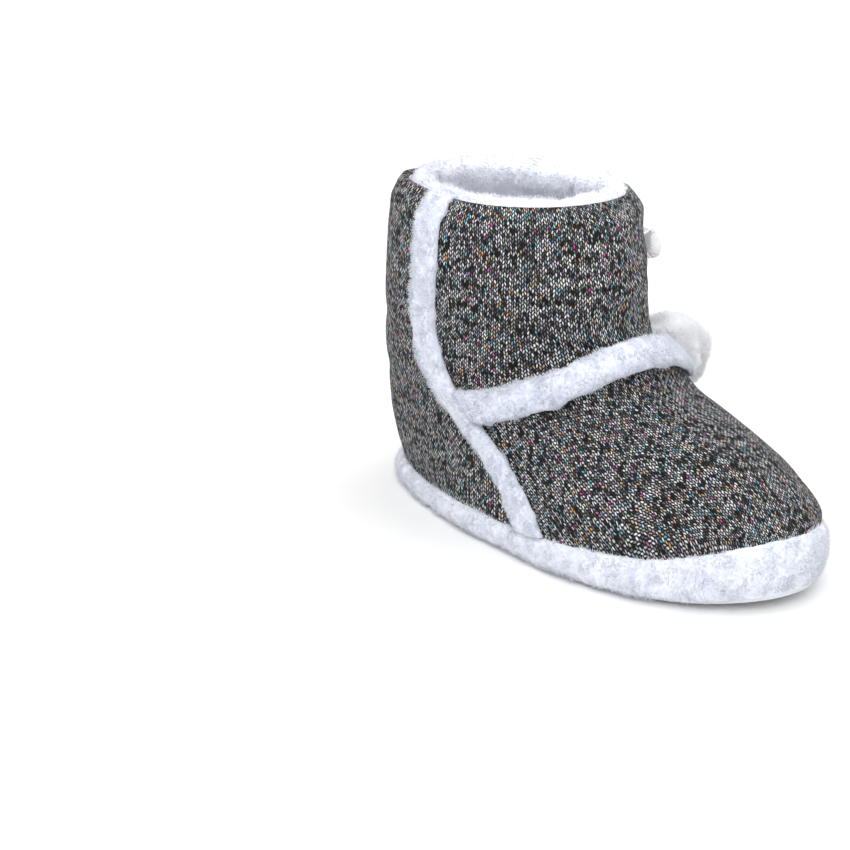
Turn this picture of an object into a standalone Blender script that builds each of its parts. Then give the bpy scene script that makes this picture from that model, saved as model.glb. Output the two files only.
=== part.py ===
"""Left bootie slipper with a hollow knit upper, a fleece wrapped platform and a dotted moulded sole.

The boot stands on the plane z = 0 with its toe towards +X and its lateral side towards +Y.
The upper is one surface, worked out from the table of sections below.
Every band, the lining, the footbed, the platform and the sole take their shape from that surface.
"""

import math

import bmesh
import bpy
import numpy as np

MM = 0.001

# Clearance between pieces that touch, and the number of points round the boot
GAP = 0.3 * MM
ROUND_POINTS = 52
ANGLES = (np.arange(ROUND_POINTS) + 0.5) * 2.0 * math.pi / ROUND_POINTS

# Sections of the upper in millimetres, from the platform up to the collar.
# level is the height of a section, and back_rise and front_rise lift its two ends.
# back and front are its ends along the boot.
# heel, waist and ball are half widths at those three places along it.
# curve is its share of the last's curve.
SECTION_COLUMNS = ("level", "back", "front", "heel", "waist", "ball", "curve", "back_rise", "front_rise")
SECTIONS = (
    (12.0, -6.0, 254.5, 44.0, 54.5, 58.5, 1.00, 0.0, 14.0),
    (28.0, -10.0, 255.0, 47.0, 54.5, 59.0, 1.00, 0.0, 6.0),
    (42.0, -12.0, 246.0, 48.5, 54.0, 56.5, 0.90, 0.0, 2.0),
    (58.0, -12.0, 221.0, 49.5, 53.5, 52.0, 0.70, 0.0, 0.0),
    (74.0, -11.0, 185.0, 50.0, 53.0, 48.5, 0.50, 0.0, 0.0),
    (90.0, -7.5, 159.0, 51.0, 53.5, 48.5, 0.25, 0.5, 0.0),
    (106.0, -4.0, 142.5, 52.0, 54.5, 50.5, 0.05, 1.0, 0.0),
    (122.0, -0.5, 136.0, 53.0, 56.0, 54.0, 0.00, 2.0, 0.0),
    (137.0, 2.5, 132.5, 53.5, 56.5, 56.0, 0.00, 3.0, 0.0),
    (148.0, 5.5, 129.5, 52.0, 55.0, 55.0, 0.00, 3.5, 0.0),
    (154.0, 10.0, 124.0, 48.0, 50.5, 51.0, 0.00, 4.0, 0.0),
)
TABLE = {name: np.array([row[i] for row in SECTIONS]) * MM for i, name in enumerate(SECTION_COLUMNS)}
TABLE["curve"] = TABLE["curve"] / MM
BASE_LEVEL = TABLE["level"][0]
TOP_LEVEL = TABLE["level"][-1]
HEEL_PLACE = 0.15
WAIST_PLACE = 0.45
BALL_PLACE = 0.75
TOE_FULLNESS = 2.2
HEEL_FULLNESS = 2.7
CURVE_OUT = 2.0 * MM
CURVE_TOE = 1.5 * MM

# Upper wall
WALL = 4.0 * MM
OUTER_LEVELS = tuple(
    level * MM
    for level in (12, 21, 30, 39, 48, 57, 66, 74, 81, 87, 93, 99, 105, 112, 121, 131, 141, 149, 154)
)
INNER_LEVELS = tuple(level * MM for level in (154, 149, 144, 138, 126, 112, 98, 84, 70, 56, 42, 28, 12))
RIM_STEPS = 2

# Toe spring, which bends the sole and the platform up
SPRING_START = 185.0 * MM
SPRING_END = 255.0 * MM
SPRING_HEIGHT = 6.5 * MM

# Outsole
SOLE_THICKNESS = 4.0 * MM
SOLE_INSET = 3.5 * MM
SOLE_EDGE_ROUND = 0.8 * MM
RIM_WIDTH = 9.5 * MM
FIELD_DEPTH = 1.2 * MM
WAIST_PANEL = (66.0 * MM, 98.0 * MM)
WAIST_PANEL_LIFT = 0.4 * MM
DOT_RADIUS = 4.0 * MM
DOT_PITCH = 10.2 * MM
DOT_LIFT = 0.1 * MM
DOT_SIDES = 6

# Platform wrapped in fleece: how far each row stands out from the knit, and its share of the height
FOXING_PROFILE = (
    (-3.2, 0.10),
    (2.0, 0.07),
    (4.6, 0.22),
    (5.8, 0.45),
    (5.6, 0.68),
    (4.0, 0.88),
    (1.8, 0.96),
)
FLEECE_CLUMP = 0.55 * MM
CLUMPS_ROUND = 37

# Footbed
INSOLE_THICKNESS = 4.0 * MM
INSOLE_CLEARANCE = 0.6 * MM

# Fleece strips over the seams.
# Side strips: level in millimetres and angle in degrees from the toe line.
SIDE_BAND = (
    (12.0, 86.0),
    (28.0, 91.0),
    (42.0, 96.5),
    (58.0, 100.5),
    (74.0, 100.5),
    (90.0, 97.5),
    (106.0, 93.5),
    (122.0, 89.5),
    (137.0, 87.0),
    (154.0, 87.0),
)
# Instep strip: angle in degrees from the toe line and level in millimetres
INSTEP_BAND = (
    (0.0, 91.5),
    (20.0, 89.5),
    (40.0, 82.5),
    (60.0, 73.0),
    (80.0, 65.0),
    (100.0, 57.0),
)
SIDE_BAND_WIDTH = 18.5 * MM
INSTEP_BAND_WIDTH = 18.0 * MM
BAND_THICKNESS = 5.5 * MM
BAND_EDGE = 1.2 * MM
BAND_JOIN_GAP = 0.5 * MM
INSTEP_BAND_GAP = 0.42 * MM
BAND_CROSS_POINTS = 5
SIDE_BAND_STATIONS = 26
INSTEP_BAND_STATIONS = 36
BAND_FOOT = 0.6 * MM

# Fleece lining that shows at the collar: inward and upward from the rim, in millimetres
LINING_START_LEVEL = 126.0 * MM
LINING_PROFILE = (
    (4.7, 0.2),
    (6.2, 2.6),
    (9.5, 2.8),
    (13.0, 1.2),
    (14.5, -4.0),
    (13.5, -15.0),
    (11.5, -27.0),
)

# Pompom on the lateral side, over the instep strip
POMPOM_CENTRE = (94.26 * MM, 77.75 * MM, 66.85 * MM)
POMPOM_CORE = 15.0 * MM
POMPOM_LOCK = 5.0 * MM
POMPOM_LOCKS = 70
POMPOM_LOCK_SPREAD = 0.16
POMPOM_MERIDIANS = 30
POMPOM_PARALLELS = 15

# Ribbon bow on the lateral side, above the pompom.
# A loop's path is two arcs, one in the knot and one at its round end, joined by straight runs.
BOW_LEVEL = 127.5 * MM
BOW_ANGLE = math.radians(66.0)
BOW_LOOP_LENGTH = 30.0 * MM
BOW_KNOT_ARC = 1.0 * MM
BOW_END_ARC = 2.6 * MM
BOW_ARC_START = 2.4 * MM
BOW_RIBBON_WIDTH = 12.5 * MM
BOW_KNOT_WIDTH = 7.0 * MM
BOW_RIBBON_THICKNESS = 0.8 * MM
BOW_ARC_POINTS = 7
BOW_RUN_POINTS = 5
BOW_FRONT_LIFT = 0.3 * MM
BOW_BACK_LIFT = 6.4 * MM
BOW_LIFT_START = 3.0 * MM
BOW_LIFT_END = 9.0 * MM
BOW_KNOT_RADII = (4.5 * MM, 3.2 * MM, 5.0 * MM)
KNOT_MERIDIANS = 12
KNOT_PARALLELS = 8

FLEECE_COLOUR = (0.80, 0.81, 0.87)
KNIT_COLOUR = (0.13, 0.13, 0.14)
SOLE_COLOUR = (0.74, 0.74, 0.78)


def smooth_table(xs, ys, value):
    """Monotone cubic through the points (xs, ys), held level past its ends."""
    step = np.diff(xs)
    slope = np.diff(ys) / step
    tangent = np.zeros_like(ys)
    tangent[0] = slope[0]
    tangent[-1] = slope[-1]
    product = slope[:-1] * slope[1:]
    total = slope[:-1] + slope[1:]
    safe = np.where(product > 0.0, total, 1.0)
    tangent[1:-1] = np.where(product > 0.0, 2.0 * product / safe, 0.0)
    value = np.clip(value, xs[0], xs[-1])
    index = np.clip(np.searchsorted(xs, value, side="right") - 1, 0, len(xs) - 2)
    width = step[index]
    u = (value - xs[index]) / width
    first = (2.0 * u**3 - 3.0 * u**2 + 1.0) * ys[index]
    second = (u**3 - 2.0 * u**2 + u) * width * tangent[index]
    third = (3.0 * u**2 - 2.0 * u**3) * ys[index + 1]
    fourth = (u**3 - u**2) * width * tangent[index + 1]
    return first + second + third + fourth


def section(name, level):
    """Value of one column of the table of sections at a level."""
    return smooth_table(TABLE["level"], TABLE[name], level)


def oval(angle):
    """Point of a rounded oval of half length and half width one, fuller at the heel than at the toe."""
    cosine = np.cos(angle)
    sine = np.sin(angle)
    fullness = TOE_FULLNESS + (HEEL_FULLNESS - TOE_FULLNESS) * (1.0 - cosine) / 2.0
    radius = (np.abs(cosine) ** fullness + np.abs(sine) ** fullness) ** (-1.0 / fullness)
    return radius * cosine, radius * sine


def upper_point(level, angle):
    """Point on the outside of the upper.

    Along the boot a section is a rounded oval between its back and its front.
    Its half width is the parabola through the heel, waist and ball widths.
    """
    level, angle = np.broadcast_arrays(np.asarray(level, float), np.asarray(angle, float))
    back = section("back", level)
    front = section("front", level)
    along, across = oval(angle)
    place = (along + 1.0) / 2.0
    heel_share = (place - WAIST_PLACE) * (place - BALL_PLACE)
    heel_share = heel_share / ((HEEL_PLACE - WAIST_PLACE) * (HEEL_PLACE - BALL_PLACE))
    waist_share = (place - HEEL_PLACE) * (place - BALL_PLACE)
    waist_share = waist_share / ((WAIST_PLACE - HEEL_PLACE) * (WAIST_PLACE - BALL_PLACE))
    ball_share = 1.0 - heel_share - waist_share
    half_width = section("heel", level) * heel_share + section("waist", level) * waist_share
    half_width = half_width + section("ball", level) * ball_share
    bend = CURVE_OUT * np.sin(math.pi * place) ** 2 + CURVE_TOE * place**2
    x = back + (front - back) * place
    y = section("curve", level) * bend + half_width * across
    rise = section("back_rise", level) * (1.0 - place) ** 2 + section("front_rise", level) * place**3
    return np.stack([x, y, level + rise], axis=-1)


def unit(vectors):
    """Vectors of length one."""
    return vectors / np.linalg.norm(vectors, axis=-1, keepdims=True)


def upper_slopes(level, angle):
    """How the upper's point moves per metre of level and per radian of angle."""
    level_step = 0.2 * MM
    angle_step = 0.002
    low = np.maximum(np.asarray(level, float) - level_step, BASE_LEVEL)
    high = np.minimum(np.asarray(level, float) + level_step, TOP_LEVEL)
    rise = (upper_point(high, angle) - upper_point(low, angle)) / np.asarray(high - low)[..., None]
    turn = upper_point(level, angle + angle_step) - upper_point(level, angle - angle_step)
    return rise, turn / (2.0 * angle_step)


def wall_point(level, angle, out):
    """Point that lies out from the upper's outer face, along its normal."""
    level, angle, out = np.broadcast_arrays(
        np.asarray(level, float), np.asarray(angle, float), np.asarray(out, float))
    rise, turn = upper_slopes(level, angle)
    normal = unit(np.cross(turn, rise))
    return upper_point(level, angle) + normal * out[..., None]


def base_height(x):
    """Height of the upper's lower edge at a place along the boot."""
    back = TABLE["back"][0]
    place = np.clip((x - back) / (TABLE["front"][0] - back), 0.0, None)
    return BASE_LEVEL + TABLE["front_rise"][0] * place**3


def ground_height(x):
    """Height of the bent up sole above the floor: nothing as far as the ball, then a parabola."""
    place = np.clip((x - SPRING_START) / (SPRING_END - SPRING_START), 0.0, None)
    return SPRING_HEIGHT * place**2


def base_outline(outset):
    """Plan of the upper's lower edge, moved outwards by a distance."""
    points = upper_point(np.full(ROUND_POINTS, BASE_LEVEL), ANGLES)
    turn = upper_slopes(np.full(ROUND_POINTS, BASE_LEVEL), ANGLES)[1]
    outward = unit(np.stack([turn[:, 1], -turn[:, 0]], axis=-1))
    return points[:, :2] + outward * np.asarray(outset, float).reshape(-1, 1)


def ring_at(outset, height_rule):
    """Closed ring of points on an offset outline, with its height given by a function of x."""
    plan = base_outline(outset)
    return np.column_stack([plan, height_rule(plan[:, 0])])


def ladder_faces(start, count):
    """Faces that close a ring by rungs between its two sides."""
    return [
        (start + i, start + i + 1, start + count - 2 - i, start + count - 1 - i)
        for i in range(count // 2 - 1)
    ]


def mesh_from_rings(name, rings, closed):
    """One closed mesh from rings of points: a closed tube, or a row of rings with both ends filled."""
    rows = len(rings)
    count = len(rings[0])
    faces = []
    for row in range(rows if closed else rows - 1):
        here = row * count
        there = ((row + 1) % rows) * count
        for i in range(count):
            j = (i + 1) % count
            faces.append((here + i, here + j, there + j, there + i))
    if not closed:
        faces += ladder_faces(0, count)
        faces += ladder_faces((rows - 1) * count, count)
    mesh = bpy.data.meshes.new(name)
    mesh.from_pydata(np.concatenate(rings).tolist(), [], faces)
    form = bmesh.new()
    form.from_mesh(mesh)
    bmesh.ops.triangulate(form, faces=form.faces)
    bmesh.ops.recalc_face_normals(form, faces=form.faces)
    form.to_mesh(mesh)
    form.free()
    return mesh


def add_object(name, mesh, material, smooth_angle=40.0):
    """Object with its material, linked to the scene and shaded smooth."""
    piece = bpy.data.objects.new(name, mesh)
    bpy.context.scene.collection.objects.link(piece)
    if material is not None:
        mesh.materials.append(material)
    mesh.shade_smooth()
    mesh.set_sharp_from_angle(angle=math.radians(smooth_angle))
    return piece


def add_material(name, colour, roughness):
    """Plain material of one colour."""
    material = bpy.data.materials.new(name)
    material.use_nodes = True
    shader = material.node_tree.nodes["Principled BSDF"]
    shader.inputs["Base Color"].default_value = (*colour, 1.0)
    shader.inputs["Roughness"].default_value = roughness
    shader.inputs["Metallic"].default_value = 0.0
    material.diffuse_color = (*colour, 1.0)
    return material


def unite(piece, extra_mesh):
    """Fuse a second mesh into an object."""
    extra = bpy.data.objects.new(piece.name + "_extra", extra_mesh)
    bpy.context.scene.collection.objects.link(extra)
    extra.hide_render = True
    extra.display_type = "WIRE"
    modifier = piece.modifiers.new("Union " + extra_mesh.name, "BOOLEAN")
    modifier.operation = "UNION"
    modifier.solver = "EXACT"
    modifier.use_self = False
    modifier.object = extra


def make_upper():
    """Knit shell: outer face, rounded rim and inner face, open at the collar and underneath."""
    rings = []
    for level in OUTER_LEVELS:
        rings.append(wall_point(level, ANGLES, 0.0))
    rise = unit(upper_slopes(np.full(ROUND_POINTS, TOP_LEVEL), ANGLES)[0])
    for step in range(1, RIM_STEPS + 1):
        turn = math.pi * step / (RIM_STEPS + 1)
        depth = WALL * (1.0 - math.cos(turn)) / 2.0
        rings.append(wall_point(TOP_LEVEL, ANGLES, -depth) + rise * (WALL * math.sin(turn) / 2.0))
    for level in INNER_LEVELS:
        rings.append(wall_point(level, ANGLES, -WALL))
    rings[-1] = ring_at(-WALL, base_height)
    material = add_material("Knit", KNIT_COLOUR, 0.95)
    return add_object("upper", mesh_from_rings("upper", rings, True), material)


def make_insole():
    """Footbed plate inside the upper."""
    outset = -(WALL + INSOLE_CLEARANCE)
    lower = ring_at(outset, base_height)
    top = ring_at(outset, lambda x: base_height(x) + INSOLE_THICKNESS)
    material = add_material("Insole fleece", FLEECE_COLOUR, 1.0)
    return add_object("insole", mesh_from_rings("insole", [lower, top], False), material)


def clump_wave(angles, row):
    """Small swell of the fleece from clump to clump, the same on every run."""
    first = np.sin(CLUMPS_ROUND * angles + 1.9 * row)
    second = np.sin((CLUMPS_ROUND // 2) * angles - 2.7 * row)
    return FLEECE_CLUMP * (0.6 * first + 0.4 * second)


def make_foxing():
    """Platform wrapped in fleece: it holds the outsole in a recess and carries the upper and the footbed."""
    recess = -(SOLE_INSET - GAP)
    rings = [ring_at(recess, lambda x: ground_height(x) + SOLE_THICKNESS + GAP)]
    for row, (outset, share) in enumerate(FOXING_PROFILE):
        swell = 0.0 if row == 0 else clump_wave(ANGLES, row)

        def height(x, share=share):
            ground = ground_height(x)
            return ground + share * (base_height(x) - GAP - ground)

        rings.append(ring_at(outset * MM + swell, height))
    rings.append(ring_at(0.0, lambda x: base_height(x) - GAP))
    material = add_material("Foxing fleece", FLEECE_COLOUR, 1.0)
    return add_object("foxing", mesh_from_rings("foxing", rings, False), material)


def dot_places(field):
    """Centres of the dots of a staggered lattice that lie in a field of the sole."""
    row_step = DOT_PITCH / math.sqrt(2.0)
    start, end = field
    rows = int((end - start) / row_step)
    outline = base_outline(-(SOLE_INSET + RIM_WIDTH))
    half = ROUND_POINTS // 2
    order = np.argsort(outline[:half, 0])
    xs = outline[:half, 0][order]
    lateral = outline[:half, 1][order]
    medial = outline[half:, 1][::-1][order]
    places = []
    for row in range(rows + 1):
        x = start + row_step * (row + 0.5)
        if x > end - DOT_RADIUS:
            break
        left = np.interp(x, xs, lateral)
        right = np.interp(x, xs, medial)
        shift = 0.5 if row % 2 else 0.0
        for column in range(-6, 7):
            y = (column + shift) * 2.0 * row_step
            if right + 0.3 * DOT_RADIUS < y < left - 0.3 * DOT_RADIUS:
                places.append((x, y))
    return places


def dots_mesh(places):
    """Low domes that stand down from the sole, joined in one mesh."""
    form = bmesh.new()
    turns = [2.0 * math.pi * i / DOT_SIDES for i in range(DOT_SIDES)]
    for x, y in places:
        ground = float(ground_height(np.array(x)))
        rows = ((1.3 * DOT_RADIUS, FIELD_DEPTH + 0.8 * MM), (0.62 * DOT_RADIUS, DOT_LIFT))
        rings = []
        for radius, height in rows:
            ring = []
            for turn in turns:
                place_x = x + radius * math.cos(turn)
                ring.append(form.verts.new((place_x, y + radius * math.sin(turn), ground + height)))
            rings.append(ring)
        for low, high in zip(rings, rings[1:]):
            for i in range(DOT_SIDES):
                j = (i + 1) % DOT_SIDES
                form.faces.new((low[i], low[j], high[j], high[i]))
        form.faces.new(rings[0])
        form.faces.new(rings[-1])
    bmesh.ops.recalc_face_normals(form, faces=form.faces)
    mesh = bpy.data.meshes.new("sole dots")
    form.to_mesh(mesh)
    form.free()
    return mesh


def waist_panel_mesh():
    """Smooth slab between the two dotted fields, buried in the border at both sides."""
    outline = base_outline(-(SOLE_INSET + RIM_WIDTH - 1.5 * MM))
    half = ROUND_POINTS // 2
    order = np.argsort(outline[:half, 0])
    xs = outline[:half, 0][order]
    lateral = outline[:half, 1][order]
    medial = outline[half:, 1][::-1][order]
    corners = []
    for x in np.linspace(WAIST_PANEL[0], WAIST_PANEL[1], 4):
        corners.append((x, np.interp(x, xs, medial), np.interp(x, xs, lateral)))
    ring = [(x, right) for x, right, left in corners] + [(x, left) for x, right, left in reversed(corners)]
    low = np.array([(x, y, WAIST_PANEL_LIFT) for x, y in ring])
    high = np.array([(x, y, FIELD_DEPTH + 0.8 * MM) for x, y in ring])
    return mesh_from_rings("waist panel", [low, high], False)


def make_outsole():
    """Moulded sole: a raised border, two recessed fields of dots and a smooth panel at the waist."""
    inner = -(SOLE_INSET + RIM_WIDTH)
    rings = [
        ring_at(inner, lambda x: ground_height(x) + FIELD_DEPTH),
        ring_at(inner, ground_height),
        ring_at(-(SOLE_INSET + SOLE_EDGE_ROUND), ground_height),
        ring_at(-SOLE_INSET, lambda x: ground_height(x) + SOLE_EDGE_ROUND),
        ring_at(-SOLE_INSET, lambda x: ground_height(x) + SOLE_THICKNESS),
    ]
    material = add_material("Sole rubber", SOLE_COLOUR, 0.6)
    piece = add_object("outsole", mesh_from_rings("outsole", rings, False), material, 30.0)
    outline = base_outline(inner)
    heel_field = (outline[:, 0].min(), WAIST_PANEL[0])
    forefoot_field = (WAIST_PANEL[1], outline[:, 0].max())
    unite(piece, waist_panel_mesh())
    unite(piece, dots_mesh(dot_places(heel_field) + dot_places(forefoot_field)))
    return piece


def band_height(across, along):
    """Thickness of a fleece strip: rounded over its width, with soft clumps along it."""
    crown = (1.0 - np.abs(across) ** 2.6) ** 0.7
    clump = 0.09 * np.sin(31.0 * along + 2.0 * across) + 0.06 * np.sin(53.0 * along - 3.0 * across)
    return BAND_EDGE + (BAND_THICKNESS - BAND_EDGE) * crown * (1.0 + clump)


def side_band_angle(level):
    """Angle of the middle of the side strip, on the lateral side."""
    table = np.array(SIDE_BAND)
    return np.radians(smooth_table(table[:, 0] * MM, table[:, 1], level))


def side_band_reach(level):
    """Half of the side strip's width, as an angle."""
    turn = upper_slopes(level, side_band_angle(level))[1]
    return 0.5 * SIDE_BAND_WIDTH / np.linalg.norm(turn, axis=-1)


def band_ring(levels, angles, across, along, gap):
    """Cross section of a strip: its back lies along the upper, and its front is rounded."""
    back = wall_point(levels, angles, gap)
    front = wall_point(levels, angles, gap + band_height(across, along))
    return np.concatenate([back, front[::-1]])


def make_side_band(name, side):
    """Fleece strip over a side seam, from the platform to the collar."""
    across = np.linspace(-1.0, 1.0, BAND_CROSS_POINTS)
    rings = []
    for level in np.linspace(BASE_LEVEL + BAND_FOOT, TOP_LEVEL, SIDE_BAND_STATIONS):
        middle = side_band_angle(np.array(level))
        angles = side * (middle + across * side_band_reach(np.array(level)))
        along = (level - BASE_LEVEL) / (TOP_LEVEL - BASE_LEVEL)
        levels = np.full(BAND_CROSS_POINTS, level)
        rings.append(band_ring(levels, angles, across, along, GAP))
    material = add_material(name.replace("_", " ") + " fleece", FLEECE_COLOUR, 1.0)
    return add_object(name, mesh_from_rings(name, rings, False), material)


def instep_level(angle):
    """Level of the middle of the instep strip."""
    table = np.array(INSTEP_BAND)
    return smooth_table(np.radians(table[:, 0]), table[:, 1] * MM, np.abs(angle))


def instep_reach(angle):
    """Half of the instep strip's width, as a difference of level."""
    angle = np.abs(angle)
    level = instep_level(angle)
    rise, turn = upper_slopes(level, angle)
    step = 0.01
    slope = (instep_level(angle + step) - instep_level(np.maximum(angle - step, 0.0))) / (2.0 * step)
    path = unit(turn + rise * slope[..., None])
    sine = np.linalg.norm(np.cross(unit(rise), path), axis=-1)
    return 0.5 * INSTEP_BAND_WIDTH / (np.linalg.norm(rise, axis=-1) * sine)


def make_instep_band():
    """Fleece strip over the seam between vamp and shaft, from one side strip over the front to the other."""
    across = np.linspace(-1.0, 1.0, BAND_CROSS_POINTS)
    end = np.full(BAND_CROSS_POINTS, math.radians(80.0))
    for _ in range(12):
        level = instep_level(end) + across * instep_reach(end)
        turn = np.linalg.norm(upper_slopes(level, end)[1], axis=-1)
        end = side_band_angle(level) - side_band_reach(level) - BAND_JOIN_GAP / turn
    rings = []
    for share in np.linspace(-1.0, 1.0, INSTEP_BAND_STATIONS):
        angles = end * share
        levels = instep_level(angles) + across * instep_reach(angles)
        along = 0.5 + 0.5 * share
        rings.append(band_ring(levels, angles, across, along, INSTEP_BAND_GAP))
    material = add_material("Instep band fleece", FLEECE_COLOUR, 1.0)
    return add_object("instep_band", mesh_from_rings("instep_band", rings, False), material)


def make_collar_lining():
    """Ring of fleece inside the collar: it stands a little above the rim and turns inwards."""
    rings = []
    for level in reversed(INNER_LEVELS):
        if level >= LINING_START_LEVEL:
            rings.append(wall_point(level, ANGLES, -(WALL + GAP)))
    rim = upper_point(np.full(ROUND_POINTS, TOP_LEVEL), ANGLES)
    turn = upper_slopes(np.full(ROUND_POINTS, TOP_LEVEL), ANGLES)[1]
    inward = unit(np.stack([-turn[:, 1], turn[:, 0], np.zeros(ROUND_POINTS)], axis=-1))
    for row, (depth, height) in enumerate(LINING_PROFILE):
        swell = 0.0 if row == 0 else clump_wave(ANGLES, row)
        reach = np.full(ROUND_POINTS, depth * MM) + swell
        ring = rim + inward * reach[:, None]
        ring[:, 2] += height * MM
        rings.append(ring)
    material = add_material("Lining fleece", FLEECE_COLOUR, 1.0)
    return add_object("collar_lining", mesh_from_rings("collar_lining", rings, True), material)


def make_pompom():
    """Round pompom: a ball whose radius grows to a lock of yarn round each of many directions."""
    golden = math.pi * (3.0 - math.sqrt(5.0))
    number = np.arange(POMPOM_LOCKS)
    height = 1.0 - 2.0 * (number + 0.5) / POMPOM_LOCKS
    reach = np.sqrt(1.0 - height**2)
    locks = np.stack([reach * np.cos(golden * number), reach * np.sin(golden * number), height], axis=-1)
    turn = (np.arange(POMPOM_MERIDIANS) + 0.5) * 2.0 * math.pi / POMPOM_MERIDIANS
    rings = []
    for row in range(POMPOM_PARALLELS):
        lean = math.pi * (row + 0.5) / POMPOM_PARALLELS
        flat = math.sin(lean)
        across = np.full(POMPOM_MERIDIANS, math.cos(lean))
        directions = np.stack([flat * np.cos(turn), flat * np.sin(turn), across], axis=-1)
        away = np.arccos(np.clip(directions @ locks.T, -1.0, 1.0)).min(axis=1)
        radius = POMPOM_CORE + POMPOM_LOCK * np.exp(-((away / POMPOM_LOCK_SPREAD) ** 2))
        rings.append(np.array(POMPOM_CENTRE) + directions * radius[:, None])
    material = add_material("Pompom yarn", FLEECE_COLOUR, 1.0)
    return add_object("pompom", mesh_from_rings("pompom", rings, False), material)


def bow_path():
    """Closed path of a loop seen from above: distance from the knot, and distance from the loop's middle line.

    The straight runs touch both arcs, so they lean by the angle whose sine is the difference of the
    arcs' radii over the distance of their centres.
    """
    span = BOW_LOOP_LENGTH - BOW_END_ARC - BOW_ARC_START
    lean = math.asin((BOW_END_ARC - BOW_KNOT_ARC) / span)
    reach = 0.5 * math.pi + lean
    end_turn = np.linspace(-reach, reach, BOW_ARC_POINTS)
    knot_turn = np.linspace(reach, 2.0 * math.pi - reach, BOW_ARC_POINTS)
    end_arc = np.column_stack([np.cos(end_turn), np.sin(end_turn)]) * BOW_END_ARC
    knot_arc = np.column_stack([np.cos(knot_turn), np.sin(knot_turn)]) * BOW_KNOT_ARC
    end_arc[:, 0] += BOW_ARC_START + span
    knot_arc[:, 0] += BOW_ARC_START
    share = (np.arange(1, BOW_RUN_POINTS) / BOW_RUN_POINTS)[:, None]
    run_back = end_arc[-1] + (knot_arc[0] - end_arc[-1]) * share
    run_out = knot_arc[-1] + (end_arc[0] - knot_arc[-1]) * share
    path = np.concatenate([end_arc, run_back, knot_arc, run_out])
    along = np.roll(path, -1, axis=0) - np.roll(path, 1, axis=0)
    outward = unit(np.column_stack([along[:, 1], -along[:, 0]]))
    return path, outward


def bow_loop_mesh(name, direction, lift):
    """One loop of ribbon, narrow at the knot and wide at its round end.

    The lift raises the loop away from the upper soon after the knot, so that it passes over the side strip.
    """
    turn_length = np.linalg.norm(upper_slopes(np.array(BOW_LEVEL), np.array(BOW_ANGLE))[1])
    middle = GAP + BOW_KNOT_RADII[1]
    path, outward = bow_path()
    share = np.clip(path[:, 0] / BOW_LOOP_LENGTH, 0.0, 1.0)
    half = 0.5 * (BOW_KNOT_WIDTH + (BOW_RIBBON_WIDTH - BOW_KNOT_WIDTH) * share**0.7)
    rings = []
    for side, height in ((1.0, -1.0), (1.0, 1.0), (-1.0, 1.0), (-1.0, -1.0)):
        place = path + outward * (side * 0.5 * BOW_RIBBON_THICKNESS)
        climb = np.clip((place[:, 0] - BOW_LIFT_START) / (BOW_LIFT_END - BOW_LIFT_START), 0.0, 1.0)
        out = middle + place[:, 1] + lift * climb**2 * (3.0 - 2.0 * climb)
        angles = BOW_ANGLE - direction * place[:, 0] / turn_length
        rings.append(wall_point(BOW_LEVEL + height * half, angles, out))
    return mesh_from_rings(name, rings, True)


def knot_mesh():
    """Rounded knot where the two loops meet."""
    centre = wall_point(BOW_LEVEL, BOW_ANGLE, GAP + BOW_KNOT_RADII[1])
    form = bmesh.new()
    bmesh.ops.create_uvsphere(form, u_segments=KNOT_MERIDIANS, v_segments=KNOT_PARALLELS, radius=1.0)
    heading = upper_slopes(np.array(BOW_LEVEL), np.array(BOW_ANGLE))[1]
    turn = math.atan2(heading[1], heading[0])
    for vert in form.verts:
        x = vert.co.x * BOW_KNOT_RADII[0]
        y = vert.co.y * BOW_KNOT_RADII[1]
        z = vert.co.z * BOW_KNOT_RADII[2]
        vert.co.x = centre[0] + x * math.cos(turn) - y * math.sin(turn)
        vert.co.y = centre[1] + x * math.sin(turn) + y * math.cos(turn)
        vert.co.z = centre[2] + z
    mesh = bpy.data.meshes.new("bow knot")
    form.to_mesh(mesh)
    form.free()
    return mesh


def make_bow():
    """Sheer ribbon bow: a knot with a loop to each side."""
    material = add_material("Sheer ribbon", (0.85, 0.87, 0.92), 0.35)
    piece = add_object("bow", knot_mesh(), material)
    unite(piece, bow_loop_mesh("bow front loop", 1.0, BOW_FRONT_LIFT))
    unite(piece, bow_loop_mesh("bow back loop", -1.0, BOW_BACK_LIFT))
    return piece


def clear_scene():
    """Remove every object that the scene starts with."""
    for item in list(bpy.data.objects):
        bpy.data.objects.remove(item, do_unlink=True)


def main():
    clear_scene()
    make_outsole()
    make_foxing()
    make_insole()
    make_upper()
    make_collar_lining()
    make_side_band("side_band_medial", -1.0)
    make_side_band("side_band_lateral", 1.0)
    make_instep_band()
    make_pompom()
    make_bow()


main()
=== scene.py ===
"""Looks of the left bootie slipper: marled knit, sherpa fleece, a fluffy pompom, a sheer bow and a dotted sole.

Every surface is worked out with numpy from the boot's own sections, in metres, in the frame of the
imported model.
"""

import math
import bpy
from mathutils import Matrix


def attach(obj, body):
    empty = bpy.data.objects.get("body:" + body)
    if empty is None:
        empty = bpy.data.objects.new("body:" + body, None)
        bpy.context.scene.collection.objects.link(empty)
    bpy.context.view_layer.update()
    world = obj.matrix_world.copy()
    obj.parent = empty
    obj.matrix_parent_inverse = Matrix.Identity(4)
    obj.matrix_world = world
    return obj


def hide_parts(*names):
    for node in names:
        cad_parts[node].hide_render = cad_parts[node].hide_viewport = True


bl_info = {
    "name": "Bootie slipper",
    "version": (1, 0, 0),
    "blender": (4, 5, 0),
    "location": "View3D > Sidebar > Bootie",
    "description": "Builds the knit, fleece, pompom, bow, sole and studio of a bootie slipper",
    "category": "Object",
}

import bpy
import numpy as np
from bpy.props import FloatProperty, FloatVectorProperty, IntProperty, PointerProperty
from mathutils import Matrix

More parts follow.
